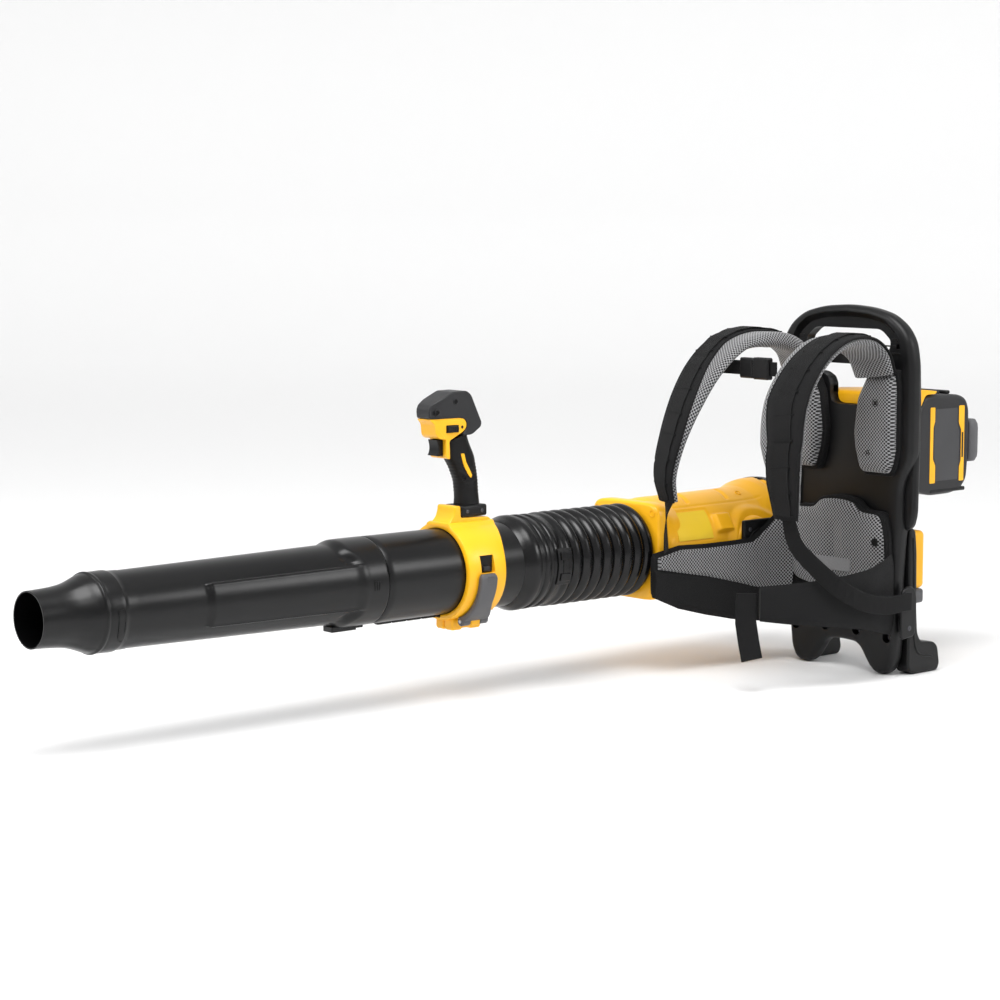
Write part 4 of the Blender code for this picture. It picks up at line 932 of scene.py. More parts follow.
def build_flange():
    rings = []
    segments = 144
    for y, half in ((FLANGE_START, 0.0665), (FLANGE_START + 0.0006, 0.069), (FLANGE_START + 0.0025, 0.0706),
                    (FLANGE_START + 0.005, 0.071), (FLANGE_END - 0.0045, 0.071),
                    (FLANGE_END - 0.0015, 0.0702), (FLANGE_END, 0.068)):
        rings.append(air_ring(y, lambda angle, half=half: squared(angle, half, 7.0), segments))
    for y in (FLANGE_END, FLANGE_START):
        rings.append(air_ring(y, 0.0585, segments))
    add_piece("flange_plate", *skin(rings, closed_loop=True), YELLOW,
              replaces=("housing_flange",), sharp=50.0)
    rings = []
    for y, mix in ((FLANGE_END - 0.001, 0.0), (-0.196, 0.35), (-0.186, 0.75), (-0.172, 1.0)):
        def rounder(angle, mix=mix):
            square = squared(angle, 0.069, 6.0)
            return square + (HOUSING_RADIUS - 0.0002 - square) * mix

        rings.append(air_ring(y, rounder, segments))
    for y, radius in ((-0.172, 0.069), (FLANGE_END - 0.001, 0.06)):
        rings.append(air_ring(y, radius, segments))
    add_piece("flange_neck", *skin(rings, closed_loop=True), YELLOW, sharp=60.0)
    for sx in (-1, 1):
        for sz in (-1, 1):
            at = (AIR_X + sx * 0.057, FLANGE_START - 0.0001, AIR_Z + sz * 0.057)
            ring_seat("flange_well", at, (0, -1, 0), 0.0042, 0.003, YELLOW)
            screw("flange_screw", (at[0], at[1] + 0.0022, at[2]), (0, -1, 0), 0.0034)


def build_intake():
    r = HOUSING_RADIUS + 0.012
    y = HOUSING_END + 0.0003
    outer = [(y, r - 0.001), (y + 0.001, r + 0.0003), (y + 0.01, r + 0.0005), (y + 0.018, r - 0.0015),
             (INTAKE_END - 0.002, r - 0.005), (INTAKE_END, r - 0.0066)]
    inner = [(y, r - 0.004), (y + 0.012, r - 0.0045), (INTAKE_END, r - 0.0095)]
    turned("intake_rim", outer, inner, BLACK, replaces=("intake_ring",), step=0.003)
    turned("intake_band", [(HOUSING_END - 0.004, r - 0.001), (HOUSING_END - 0.0035, r + 0.0012),
                           (HOUSING_END - 0.0005, r + 0.0012), (HOUSING_END - 0.0001, r - 0.001)],
           [(HOUSING_END - 0.004, r - 0.003), (HOUSING_END - 0.0001, r - 0.003)], BLACK)
    for radius in (0.03, 0.045, 0.06):
        turned("guard_ring", [(INTAKE_END - 0.0035, radius - 0.0012), (INTAKE_END - 0.0035, radius + 0.0012),
                              (INTAKE_END - 0.0008, radius + 0.0012)],
               [(INTAKE_END - 0.0035, radius - 0.0012), (INTAKE_END - 0.0008, radius - 0.0012)],
               BLACK, segments=72)


def build_bracket():
    block("bracket_plate", (-0.1192, -0.068, 0.136), (-0.1122, -0.003, 0.214), BLACK,
          replaces=("housing_bracket",), bevel=(0.003, 4))
    rod("bracket_boss", (-0.13, MOUNT_Y, MOUNT_Z), (-0.1115, MOUNT_Y, MOUNT_Z), 0.029, BLACK, sides=48)
    lug = [(-0.1134, 0.208), (-0.1092, 0.208), (-0.1042, 0.15), (-0.1134, 0.15)]
    plate_xz("bracket_lug", lug, -0.012, 0.04, BLACK, bevel=(0.001,))
    for y, z in ((-0.055, 0.2), (-0.055, 0.15)):
        screw("bracket_screw", (-0.1121, y, z), (1, 0, 0), 0.0035)


# ================================================================ hose and tube
def hose_outer(start, end, rings):
    """Round-topped convolutions with narrow valleys."""
    pitch = (end - start) / rings
    profile = []
    steps = 16
    for i in range(rings * steps + 1):
        u = i / steps
        wave = abs(sin(pi * u)) ** 0.62
        profile.append((start + pitch * u, 0.0598 + 0.0076 * wave))
    return profile


def build_hose():
    bore = 0.057
    gap = 0.0002
    front = hose_outer(HOSE_START, HOSE_MIDDLE, 4)
    turned("hose_front_skin", front, [(HOSE_START, bore), (HOSE_MIDDLE, bore)], HOSE, None,
           replaces=("hose_front",), sharp=75.0,
           blend=("tube", "hose_middle", (AIR_X, HOSE_START, AIR_Z), (AIR_X, HOSE_MIDDLE, AIR_Z)))
    rear = hose_outer(HOSE_MIDDLE + gap, HOSE_END, 4)
    turned("hose_rear_skin", rear, [(HOSE_MIDDLE + gap, bore), (HOSE_END, bore)], HOSE, None,
           replaces=("hose_rear", "hose_rear_collar"), sharp=75.0,
           blend=("hose_middle", "backpack", (AIR_X, HOSE_MIDDLE, AIR_Z), (AIR_X, HOSE_END + 0.002, AIR_Z)))
    outer = [(COLLAR_START, 0.0592), (-0.4705, 0.0612), (-0.464, 0.064), (-0.459, 0.0664), (-0.456, 0.0672),
             (-0.45, 0.0673), (-0.4485, 0.0668), (-0.4478, 0.065), (-0.44, 0.065), (-0.4392, 0.0664),
             (-0.4375, 0.0668), (-0.432, 0.0668), (-0.4305, 0.0662), (-0.43, 0.0644), (-0.4235, 0.0644),
             (-0.4225, 0.066), (-0.42, 0.0664), (-0.415, 0.0664), (-0.4135, 0.0652), (-0.404, 0.0646),
             (-0.401, 0.0664), (-0.396, 0.0672), (-0.392, 0.0664), (-0.389, 0.061)]
    inner = [(COLLAR_START, 0.059), (REAR_TUBE_END, 0.059), (REAR_TUBE_END, 0.0575), (-0.389, 0.0575)]
    turned("hose_collar", outer, inner, HOSE, "tube", replaces=("hose_front_collar",), step=0.004,
           sharp=50.0)
    for y0, y1, a0, a1, thick in ((-0.4195, -0.3935, -24.0, 20.0, 0.0032),
                                  (-0.415, -0.3975, 6.0, 15.0, 0.0052),
                                  (-0.415, -0.3975, -19.0, -10.0, 0.0052),
                                  (-0.411, -0.401, -10.0, 6.0, 0.0044)):
        wrap_patch("collar_clasp", y0, y1, a0, a1, 0.066, thick, HOSE, "tube", bevel=(0.0007, 2))


def front_tube_relief(angle, y):
    """A blank raised plate on each side that runs into the flared collar, and the collar's scallops."""
    away = min(abs(angle), abs(abs(angle) - 180.0))
    plate = ease(33.0, 30.6, away) * ease(-0.997, -0.988, y) * ease(-0.742, -0.752, y)
    rise = 0.004 * plate
    lip = ease(-0.997, -0.99, y) * ease(-0.752, -0.76, y) * ease(2.6, 0.6, abs(away - 30.5))
    rise += 0.0011 * lip
    middle = 0.0135 * ease(60.0, 36.0, away)
    start = -0.78 + middle
    flare = ease(start, start + 0.02, y)
    rise += (0.0592 - 0.0537) * flare * (1.0 - 0.62 * plate)
    groove = ease(35.0, 38.0, away) * ease(52.0, 44.0, away) * ease(0.011, 0.003, abs(y - start - 0.001))
    rise -= 0.0012 * groove
    return rise


def build_tubes():
    r = TUBE_RADIUS
    turned("rear_tube_skin",
           [(REAR_TUBE_START, r - 0.0035), (FRONT_TUBE_END + 0.0004, r - 0.0035),
            (FRONT_TUBE_END + 0.0005, r - 0.0006), (FRONT_TUBE_END + 0.0012, r),
            (-0.474, r), (REAR_TUBE_END, r)],
           [(REAR_TUBE_START, r - 0.006), (REAR_TUBE_END, r - 0.006)], TUBE, "tube", replaces=("rear_tube",),
           step=0.012, sharp=50.0)
    for k in range(8):
        y = -0.69 + 0.026 * k
        block("tube_rib", (AIR_X - 0.004, y, AIR_Z - r - 0.0036),
              (AIR_X + 0.004, y + 0.0235, AIR_Z - r + 0.001), TUBE, "tube", bevel=(0.0008, 2))
    outer = [(FRONT_TUBE_START, 0.0485), (NOZZLE_END, 0.049), (-0.775, 0.0535), (-0.745, 0.0537),
             (FRONT_TUBE_END - 0.001, 0.0537), (FRONT_TUBE_END - 0.0001, 0.053)]
    inner = [(FRONT_TUBE_START, 0.0462), (-0.775, 0.051), (-0.735, 0.0525), (FRONT_TUBE_END - 0.0001, 0.0525)]
    turned("front_tube_skin", outer, inner, TUBE, "tube", front_tube_relief, segments=288, step=0.0024,
           replaces=("front_tube",), sharp=50.0)
    for k in range(3):
        y = -0.7385 + 0.0038 * k
        wrap_patch("tube_mark", y, y + 0.0021, -5.0, 6.5, 0.0592, 0.0006, RUBBER, "tube", bevel=(0.0003, 2))
    wrap_patch("tube_mark_bar", -0.7395, -0.7275, 7.2, 8.6, 0.0592, 0.0005, RUBBER, "tube")
    block("tube_foot", (AIR_X - 0.01, -0.772, AIR_Z - 0.064), (AIR_X + 0.01, -0.731, AIR_Z - 0.056),
          TUBE, "tube", bevel=(0.0012,))
    block("tube_foot_step", (AIR_X - 0.008, -0.731, AIR_Z - 0.062), (AIR_X + 0.008, -0.718, AIR_Z - 0.056),
          TUBE, "tube", bevel=(0.0012,))


def nozzle_relief(angle, y):
    """Shallow flats where the round tip grows into the collar."""
    away = min(abs(angle), abs(abs(angle) - 180.0))
    return -0.0011 * ease(28.0, 6.0, abs(away - 40.0)) * ease(-1.205, -1.17, y) * ease(-1.146, -1.16, y)


def build_nozzle():
    path = catmull([(-1.225, 0.0358), (-1.205, 0.0366), (-1.188, 0.0379), (-1.174, 0.0402), (-1.162, 0.044),
                    (-1.153, 0.0475), (-1.1475, 0.0492)], 6)
    outer = [(NOZZLE_TIP, 0.0348), (NOZZLE_TIP - 0.0002, 0.0353)] + [(p[0], p[1]) for p in path]
    outer += [(-1.1455, 0.05), (-1.145, 0.0512), (-1.1435, 0.0517), (-1.141, 0.0512), (-1.14, 0.0505),
              (-1.1385, 0.0508), (-1.118, 0.0513), (-1.1165, 0.0511), (-1.115, 0.0499), (NOZZLE_END, 0.0496)]
    inner = [(NOZZLE_TIP, 0.0341), (-1.175, 0.037), (-1.14, 0.044), (FRONT_TUBE_START - 0.001, 0.0462),
             (FRONT_TUBE_START - 0.001, 0.0493), (NOZZLE_END, 0.0493)]
    turned("nozzle_skin", outer, inner, TUBE, "nozzle", nozzle_relief, step=0.006,
           replaces=("nozzle",), sharp=50.0)
    slot = [(-1.129, 8.0), (-1.12, 8.0), (-1.1195, -10.0), (-1.119, -22.0), (-1.1175, -25.0)]
    path = [Vector(air_point(y, 0.0512 + 0.0002, radians(a))) for y, a in catmull(slot, 5)]
    tube_along("bayonet_line", path, 0.0004, DARK, "nozzle", sides=6)
    slot = [(-1.129, 8.0), (-1.1285, -12.0), (-1.127, -30.0), (-1.123, -38.0), (-1.118, -39.0)]
    path = [Vector(air_point(y, 0.0512 + 0.0002, radians(a))) for y, a in catmull(slot, 5)]
    tube_along("bayonet_line_low", path, 0.0004, DARK, "nozzle", sides=6)


# ================================================================ clamp and control handle
SEAT_HALF = 0.019
FOOT_HALF = 0.0175
LEVER_PIVOT = (-0.1686, 0.11)


def build_clamp():
    segments = 144
    rings = []
    for back, inset, radius in ((False, 0.0004, 0.0598), (False, 0.0, 0.0605), (False, 0.0, 0.065),
                                (False, 0.0008, 0.0668), (False, 0.0026, 0.0675), (True, 0.0026, 0.0675),
                                (True, 0.0008, 0.0668), (True, 0.0, 0.065), (True, 0.0, 0.0605),
                                (True, 0.0004, 0.0598)):
        ring = []
        for i in range(segments):
            angle = 2 * pi * i / segments
            on_top = max(sin(angle), 0.0) ** 3
            y = CLAMP_BACK + 0.018 * on_top - inset if back else CLAMP_FRONT + inset
            tilt = abs(angle - pi / 2)
            r = radius
            if radius > 0.064 and tilt < radians(24):
                r = radius + (radius / cos(tilt) - radius) * ease(24.0, 17.0, degrees(tilt))
            ring.append(air_point(y, r, angle))
        rings.append(ring)
    clamp = add_piece("clamp_band", *skin(rings, closed_loop=True), YELLOW, None, sharp=50.0)
    window = rectangle(AIR_X + 0.06, AIR_X + 0.075, 0.179, 0.203)
    rib_slot = rectangle(AIR_X - 0.005, AIR_X + 0.005, AIR_Z - 0.0638, AIR_Z - 0.055)
    carve(clamp, [cutter("cut_window", window, -0.56, -0.536),
                  cutter("cut_rib_slot", rib_slot, -0.62, -0.46)], 0.0006, 2, 50.0)
    tie(clamp, "handle", "shell_yellow", "tube_clamp")
    block("window_floor", (AIR_X + 0.0592, -0.5595, 0.1795), (AIR_X + 0.0615, -0.5365, 0.2025), RUBBER,
          "handle", bevel=(0.0004,))
    block("window_hook", (AIR_X + 0.06, -0.554, 0.181), (AIR_X + 0.065, -0.542, 0.188), DARK_GREY, "handle",
          bevel=(0.001,))
    seat = [
        (CLAMP_FRONT + 0.002, 0.235), (CLAMP_FRONT + 0.002, 0.2425), (-0.576, 0.2455), (-0.5705, 0.251),
        (-0.5675, 0.259), (-0.5665, 0.2672), (-0.5562, 0.2672), (-0.5555, 0.2505), (-0.506, 0.249),
        (-0.5, 0.244), (-0.4975, 0.235),
    ]
    plate_yz("clamp_seat", rounded(seat, 0.003, 4), AIR_X - SEAT_HALF, AIR_X + SEAT_HALF, YELLOW, "handle",
             bevel=(0.0022, 4, 50.0))
    for x0, x1 in ((-FOOT_HALF, -0.001), (0.001, FOOT_HALF)):
        foot = [(-0.5715, 0.1135), (-0.5715, 0.0985), (-0.569, 0.0955), (-0.554, 0.0955), (-0.552, 0.0975),
                (-0.538, 0.0975), (-0.536, 0.0955), (-0.521, 0.0955), (-0.5185, 0.0985), (-0.5185, 0.1135)]
        plate_yz("clamp_foot", rounded(foot, 0.004, 4), AIR_X + x0, AIR_X + x1, YELLOW, "handle",
                 bevel=(0.0028, 4, 50.0))
    block("clamp_foot_core", (AIR_X - 0.003, -0.569, 0.101), (AIR_X + 0.003, -0.521, 0.113), YELLOW,
          "handle", bevel=(0.001,))
    x, z = LEVER_PIVOT
    block("clamp_lug", (AIR_X + FOOT_HALF - 0.004, -0.553, z - 0.0065), (x + 0.006, -0.537, z + 0.0065),
          YELLOW, "handle", bevel=(0.002,))
    for y in (-0.558, -0.505):
        ring_seat("clamp_well", (AIR_X + SEAT_HALF + 0.0002, y, 0.2415), (1, 0, 0), 0.003, 0.003, YELLOW,
                  "handle")
        screw("clamp_screw", (AIR_X + SEAT_HALF - 0.0014, y, 0.2415), (1, 0, 0), 0.0024, "handle")


def build_lever():
    rings = []
    steps = 26
    for i in range(steps + 1):
        t = i / steps
        angle = radians(-66.0 + 67.0 * t)
        narrow = ease(0.0, 0.55, t)
        low = -0.568 + 0.0015 * narrow
        high = -0.522 - 0.016 * narrow
        inner, outer = 0.069, 0.0768
        end = ease(1.0, 0.94, t)
        low, high = low + 0.003 * (1 - end), high - 0.003 * (1 - end)
        outer -= 0.0022 * (1 - end)
        section = [(inner, low + 0.0006), (inner + 0.001, low), (outer - 0.0022, low),
                   (outer - 0.0006, low + 0.0008), (outer, low + 0.0028),
                   (outer + 0.0003, 0.5 * (low + high)), (outer, high - 0.0028),
                   (outer - 0.0006, high - 0.0008), (outer - 0.0022, high), (inner + 0.001, high),
                   (inner, high - 0.0006)]
        rings.append([air_point(y, r, angle) for r, y in section])
    add_piece("lever_arm", *skin(rings), MID_GREY, "lever", replaces=("clamp_lever",), sharp=50.0)
    x, z = LEVER_PIVOT
    for low, high in ((-0.568, -0.5535), (-0.5365, -0.522)):
        rod("lever_knuckle", (x, low, z), (x, high, z), 0.0066, MID_GREY, "lever", 32)
    for k in range(5):
        angle0 = -12.0 + 2.4 * k
        wrap_patch("lever_ridge", -0.556, -0.546, angle0, angle0 + 1.1, 0.0768, 0.0005, MID_GREY, "lever")
    rod("lever_pin", (x, -0.5693, z), (x, -0.5205, z), 0.0027, STEEL, "handle", 20, replaces=("clamp_pin",))


GRIP_SECTIONS = [  # height, centre along the tube, half depth, half width, slope
    (0.2672, -0.53, 0.018, 0.0155, 0.0), (0.27, -0.53, 0.0178, 0.0153, 0.0),
    (0.278, -0.5303, 0.0172, 0.0148, 0.0), (0.29, -0.5315, 0.0172, 0.0147, 0.0),
    (0.3, -0.5325, 0.0176, 0.0148, 0.0), (0.31, -0.5352, 0.019, 0.015, 0.0),
    (0.32, -0.5385, 0.0205, 0.0152, 0.0), (0.333, -0.544, 0.0228, 0.0155, 0.05),
    (0.346, -0.55, 0.0215, 0.0156, 0.15), (0.354, -0.5525, 0.02, 0.0156, 0.22),
    (0.362, -0.554, 0.019, 0.0154, 0.36),
]


def grip_ring(height, centre, half_depth, half_width, slope, grow=0.0):
    ring = []
    sides = 48
    for i in range(sides):
        a = 2 * pi * i / sides
        c, s = cos(a), sin(a)
        c = copysign(abs(c) ** 0.85, c)
        s = copysign(abs(s) ** 0.85, s)
        along = (half_depth + grow) * c
        ring.append((AIR_X + (half_width + grow) * s, centre + along, height + slope * along))
    return ring


def build_grip():
    rings = []
    values = catmull([Vector(row[:3]) for row in GRIP_SECTIONS], 8)
    more = catmull([Vector((row[3], row[4], 0.0)) for row in GRIP_SECTIONS], 8)
    for a, b in zip(values, more):
        height = a[0]
        grow = 0.0
        if 0.28 < height < 0.328:
            wave = sin(2 * pi * (height - 0.28) / 0.0046)
            grow = 0.00035 * wave * ease(0.28, 0.284, height) * ease(0.328, 0.324, height)
        rings.append(grip_ring(height, a[1], a[2], b[0], b[1], grow))
    add_piece("grip_body", *skin(rings), RUBBER, "handle", replaces=("handle_grip",), sharp=50.0)
    strip = [(-0.553, 0.3385), (-0.547, 0.3385), (-0.544, 0.327), (-0.5385, 0.318), (-0.533, 0.308),
             (-0.535, 0.304), (-0.5395, 0.309), (-0.546, 0.319), (-0.55, 0.329)]
    for side in (-1, 1):
        plate_yz("grip_inlay", rounded(strip, 0.0012, 3), AIR_X + side * 0.0138, AIR_X + side * 0.0161,
                 YELLOW, "handle", bevel=(0.0004, 2))
    ring_seat("grip_well", (AIR_X + 0.0149, -0.546, 0.303), (1, 0, 0), 0.0024, 0.002, DARK, "handle")
    screw("grip_screw", (AIR_X + 0.0142, -0.546, 0.303), (1, 0, 0), 0.002, "handle", DARK)
    block("grip_seat", (AIR_X - SEAT_HALF, -0.5547, 0.2508), (AIR_X + SEAT_HALF, -0.508, 0.2668), BLACK,
          "handle", replaces=("handle_base",), bevel=(0.0032, 4))
    block("grip_seat_panel", (AIR_X + SEAT_HALF - 0.001, -0.549, 0.2545),
          (AIR_X + SEAT_HALF + 0.0005, -0.5135, 0.263), BLACK, "handle", bevel=(0.001,))
    for y in (-0.5442, -0.518):
        screw("seat_screw", (AIR_X + SEAT_HALF + 0.0006, y, 0.2585), (1, 0, 0), 0.0026, "handle")


BODY_OUTLINE = [
    (-0.607, 0.3878), (-0.599, 0.3805), (-0.5965, 0.365), (-0.59, 0.3603), (-0.5805, 0.36), (-0.58, 0.334),
    (-0.5735, 0.332), (-0.5735, 0.337), (-0.5745, 0.3575), (-0.564, 0.3622), (-0.55, 0.369),
    (-0.545, 0.374), (-0.544, 0.38), (-0.548, 0.3862), (-0.5565, 0.3878),
]
CAP_OUTLINE = [
    (-0.607, 0.3881), (-0.608, 0.4), (-0.605, 0.4065), (-0.594, 0.4125), (-0.568, 0.4242),
    (-0.544, 0.4245), (-0.536, 0.419), (-0.517, 0.38), (-0.5185, 0.374), (-0.534, 0.364),
    (-0.5495, 0.3632), (-0.5505, 0.366), (-0.5445, 0.3735), (-0.5435, 0.3802), (-0.5478, 0.3866),
    (-0.5565, 0.3881),
]


def tapered(outline, half, nose_y, nose_half):
    """Rings of a side outline whose width narrows towards the nose."""
    rings = []
    for level in (-1.0, -0.8, 0.8, 1.0):
        ring = []
        for p in outline:
            t = ease(-0.59, nose_y, p[0])
            width = half + (nose_half - half) * t
            ring.append((AIR_X + level * width, p[0], p[1]))
        rings.append(ring)
    return skin(rings)


def build_head():
    verts, faces = tapered(rounded(BODY_OUTLINE, 0.003, 4), 0.0175, -0.608, 0.0135)
    body = add_piece("head_body", verts, faces, YELLOW, None, bevel=(0.0028, 4, 50.0))
    slot = rectangle(AIR_X - 0.0103, AIR_X + 0.0103, 0.3358, 0.3592)
    carve(body, [cutter("cut_trigger", slot, -0.63, -0.576)], 0.0005, 2, 50.0)
    tie(body, "handle", "shell_yellow", "handle_body")
    verts, faces = tapered(rounded(CAP_OUTLINE, 0.004, 4), 0.0182, -0.608, 0.014)
    add_piece("head_cap", verts, faces, DARK_GREY, "handle", replaces=("handle_cap",), bevel=(0.004, 5, 50.0))
    for x, y, z in ((0.017, -0.596, 0.3965), (0.0182, -0.564, 0.4105)):
        ring_seat("cap_well", (AIR_X + x, y, z), (1, 0, 0), 0.0034, 0.002, DARK_GREY, "handle")
        # painted shade: a flat black disc over each cap hole stands in for the shade in its depth
        rod("cap_hole_shade", (AIR_X + x - 0.003, y, z), (AIR_X + x + 0.0003, y, z), 0.0034, DARK, "handle", 24)
        screw("cap_screw", (AIR_X + x + 0.0002, y, z), (1, 0, 0), 0.0016, "handle", DARK)
    # painted shade: a black disc on the yellow body stands in for the shade inside a hole
    rod("body_hole_shade", (AIR_X + 0.016, -0.552, 0.3752), (AIR_X + 0.0177, -0.552, 0.3752), 0.0024, RUBBER,
        "handle", 24)
    block("button_frame", (AIR_X + 0.0165, -0.58, 0.3682), (AIR_X + 0.0177, -0.558, 0.3788), RUBBER, "handle",
          bevel=(0.0015,))
    button = [(-0.5785, 0.3695), (-0.56, 0.3695), (-0.559, 0.3735), (-0.56, 0.3776), (-0.5785, 0.3776),
              (-0.5795, 0.3735)]
    plate_yz("button_cap", rounded(button, 0.0016, 4), AIR_X + 0.013, AIR_X + 0.02, BLACK, "button",
             replaces=("cruise_button",), bevel=(0.0009, 3))
    for k in range(3):
        y = -0.5725 + 0.003 * k
        block("button_ridge", (AIR_X + 0.0198, y, 0.3705), (AIR_X + 0.0203, y + 0.0012, 0.3765), BLACK,
              "button", bevel=(0.0002, 2))


def build_trigger():
    profile = catmull([(-0.5905, 0.3588), (-0.5888, 0.353), (-0.5882, 0.347), (-0.5893, 0.341),
                       (-0.5915, 0.3372)], 5)
    outline = [(p[0], p[1]) for p in profile] + [(-0.588, 0.3366), (-0.58, 0.3372), (-0.5793, 0.3588)]
    plate_yz("trigger_blade", outline, AIR_X - 0.0098, AIR_X + 0.0098, BLACK, "trigger",
             replaces=("throttle_trigger",), bevel=(0.0022, 4, 50.0))


# ================================================================ soft goods
RIGHT_STRAP = [
    (0.073, 0.006, 0.437), (0.071, -0.008, 0.466), (0.069, -0.036, 0.484), (0.068, -0.072, 0.488),
    (0.0685, -0.11, 0.478), (0.069, -0.148, 0.45), (0.067, -0.176, 0.405), (0.072, -0.19, 0.35),
    (0.079, -0.19, 0.295), (0.079, -0.182, 0.243),
]
LEFT_STRAP = [
    (-0.074, 0.006, 0.437), (-0.074, -0.008, 0.466), (-0.078, -0.04, 0.486), (-0.083, -0.085, 0.49),
    (-0.086, -0.135, 0.477), (-0.086, -0.18, 0.445), (-0.088, -0.214, 0.4), (-0.095, -0.235, 0.345),
    (-0.103, -0.241, 0.295), (-0.102, -0.234, 0.257),
]
RIGHT_WIDTHS = [0.066, 0.07, 0.078, 0.082, 0.082, 0.082, 0.086, 0.084, 0.06, 0.042]
LEFT_WIDTHS = [0.066, 0.07, 0.078, 0.082, 0.08, 0.076, 0.068, 0.056, 0.048, 0.04]
RIGHT_FLARE = [0.12, 0.18, 0.26, 0.28, 0.26, 0.2, 0.16, 0.26, 0.02, 0.0]
LEFT_FLARE = [0.12, 0.25, 0.42, 0.55, 0.52, 0.38, 0.18, 0.03, 0.0, 0.0]
RIGHT_DEPTH = [1.0, 1.0, 1.1, 1.1, 1.0, 0.9, 0.85, 0.8, 0.5, 0.35]
LEFT_DEPTH = [1.0, 1.2, 1.4, 1.2, 0.6, 0.6, 0.65, 0.5, 0.45, 0.35]


def build_strap(side_name, points, widths, flares, depths, neck, across):
    """A shoulder strap: black band on the outside, and mesh padding that flares out towards the neck."""
    stations = ribbon(points, widths, across, 8)

    def band_edge(half, t):
        return half * (1.0 - 2.0 * along(flares, t))

    def shell(half, gone, t):
        edge = band_edge(half, t)
        middle, reach = 0.5 * (edge - half), 0.5 * (edge + half)
        return [(neck * (middle + s), h + 0.0018) for s, h in padded_section(reach, 0.001, 0.005, 0.0006)]

    def lining(half, gone, t):
        deep = along(depths, t)
        shape = [(-0.97, 0.0015), (-0.6, 0.003), (0.0, 0.0034), (0.5, 0.0038), (0.75, 0.0036), (0.9, 0.0012),
                 (0.98, -0.003 * deep), (1.0, -0.0065 * deep), (0.97, -0.01 * deep), (0.88, -0.013 * deep),
                 (0.65, -0.015 * deep), (0.2, -0.014 * deep), (-0.4, -0.0105 * deep), (-0.85, -0.007 * deep),
                 (-0.97, -0.0035 * deep)]
        ring = catmull([(s * half, h, 0.0) for s, h in shape], 3, closed=True)
        return [(neck * p.x, p.y) for p in ring]

    sweep(f"strap_{side_name}_shell", stations, shell, FABRIC,
          replaces=(f"shoulder_strap_{side_name}",), sharp=60.0)
    pad = sweep(f"strap_{side_name}_lining", stations, lining, MESH, sharp=60.0)
    count = len(stations) - 1
    for edge in (-1, 1):
        path = []
        for i, (c, s, out, half, gone) in enumerate(stations):
            at = band_edge(half, i / count) - 0.0004 if edge > 0 else -half + 0.0006
            path.append(c + s * (neck * at) + out * 0.004)
        tube_along(f"strap_{side_name}_piping", path, 0.0019, PIPING, sides=10)
    inner = []
    for i, (c, s, out, half, gone) in enumerate(stations):
        edge = band_edge(half, i / count)
        inner.append((c + s * (neck * 0.5 * (edge - half)), s, out, half, gone))

    def ladder(half, gone, t):
        """Centre webbing, pulled down at each cross stitch."""
        wave = abs(sin(pi * gone / 0.03)) ** 0.5
        lift = 0.0082 + 0.0016 * wave
        wide = 0.014
        return [(-wide, lift - 0.0016), (-wide, lift), (0.0, lift + 0.0001), (wide, lift),
                (wide, lift - 0.0016), (0.0, lift - 0.0016)]

    inner = inner[6:-1]
    sweep(f"strap_{side_name}_webbing", inner, ladder, WEBBING, sharp=40.0)
    reach = 0.0
    for c, s, out, half, gone in inner:
        if gone - reach < 0.03:
            continue
        reach = gone
        ahead = out.cross(s).normalized()
        corners = []
        for h in (0.0074, 0.0095):
            corners.append([c + s * x + out * h + ahead * y
                            for x, y in ((-0.0175, -0.0011), (0.0175, -0.0011), (0.0175, 0.0011),
                                         (-0.0175, 0.0011))])
        uvs = [(0.0, 0.0), (0.04, 0.0), (0.04, 0.002), (0.0, 0.002)] * 2
        add_piece(f"strap_{side_name}_tack", *skin(corners), PIPING, uvs=uvs, bevel=(0.0004, 2))


def build_left_web():
    """The left strap's lower webbing, which twists on its way down to the hip wing."""
    points = [(-0.1025, -0.234, 0.262), (-0.107, -0.234, 0.24), (-0.1085, -0.234, 0.212),
              (-0.1085, -0.233, 0.182)]
    turns = [(1.0, -0.3, 0.0), (0.9, -0.75, 0.0), (0.66, -0.85, 0.0), (0.55, -0.85, 0.0)]
    stations = ribbon(points, [0.032, 0.026, 0.026, 0.028], turns, 8)

    def flat(half, gone, t):
        return [(-half, -0.0008), (half, -0.0008), (half, 0.0008), (-half, 0.0008)]

    sweep("web_left", stations, flat, WEBBING, replaces=("strap_web_left",), sharp=40.0)


def to_front(depth):
    """Puts a pad's (u, v, lift) on the frame: u is x, v is z, and lift is towards the wearer."""
    return lambda u, v, lift: (u, depth - lift, v)


def rivet(name, x, z, y):
    ring_seat(name + "_ring", (x, y, z), (0, -1, 0), 0.0046, 0.0015, DARK)
    screw(name, (x, y + 0.0004, z), (0, -1, 0), 0.0034, look=DARK)


def border(name, outline, y, radius):
    path = [Vector((p[0], y, p[1])) for p in outline]
    return tube_along(name, path, radius, PIPING, sides=12, closed=True)


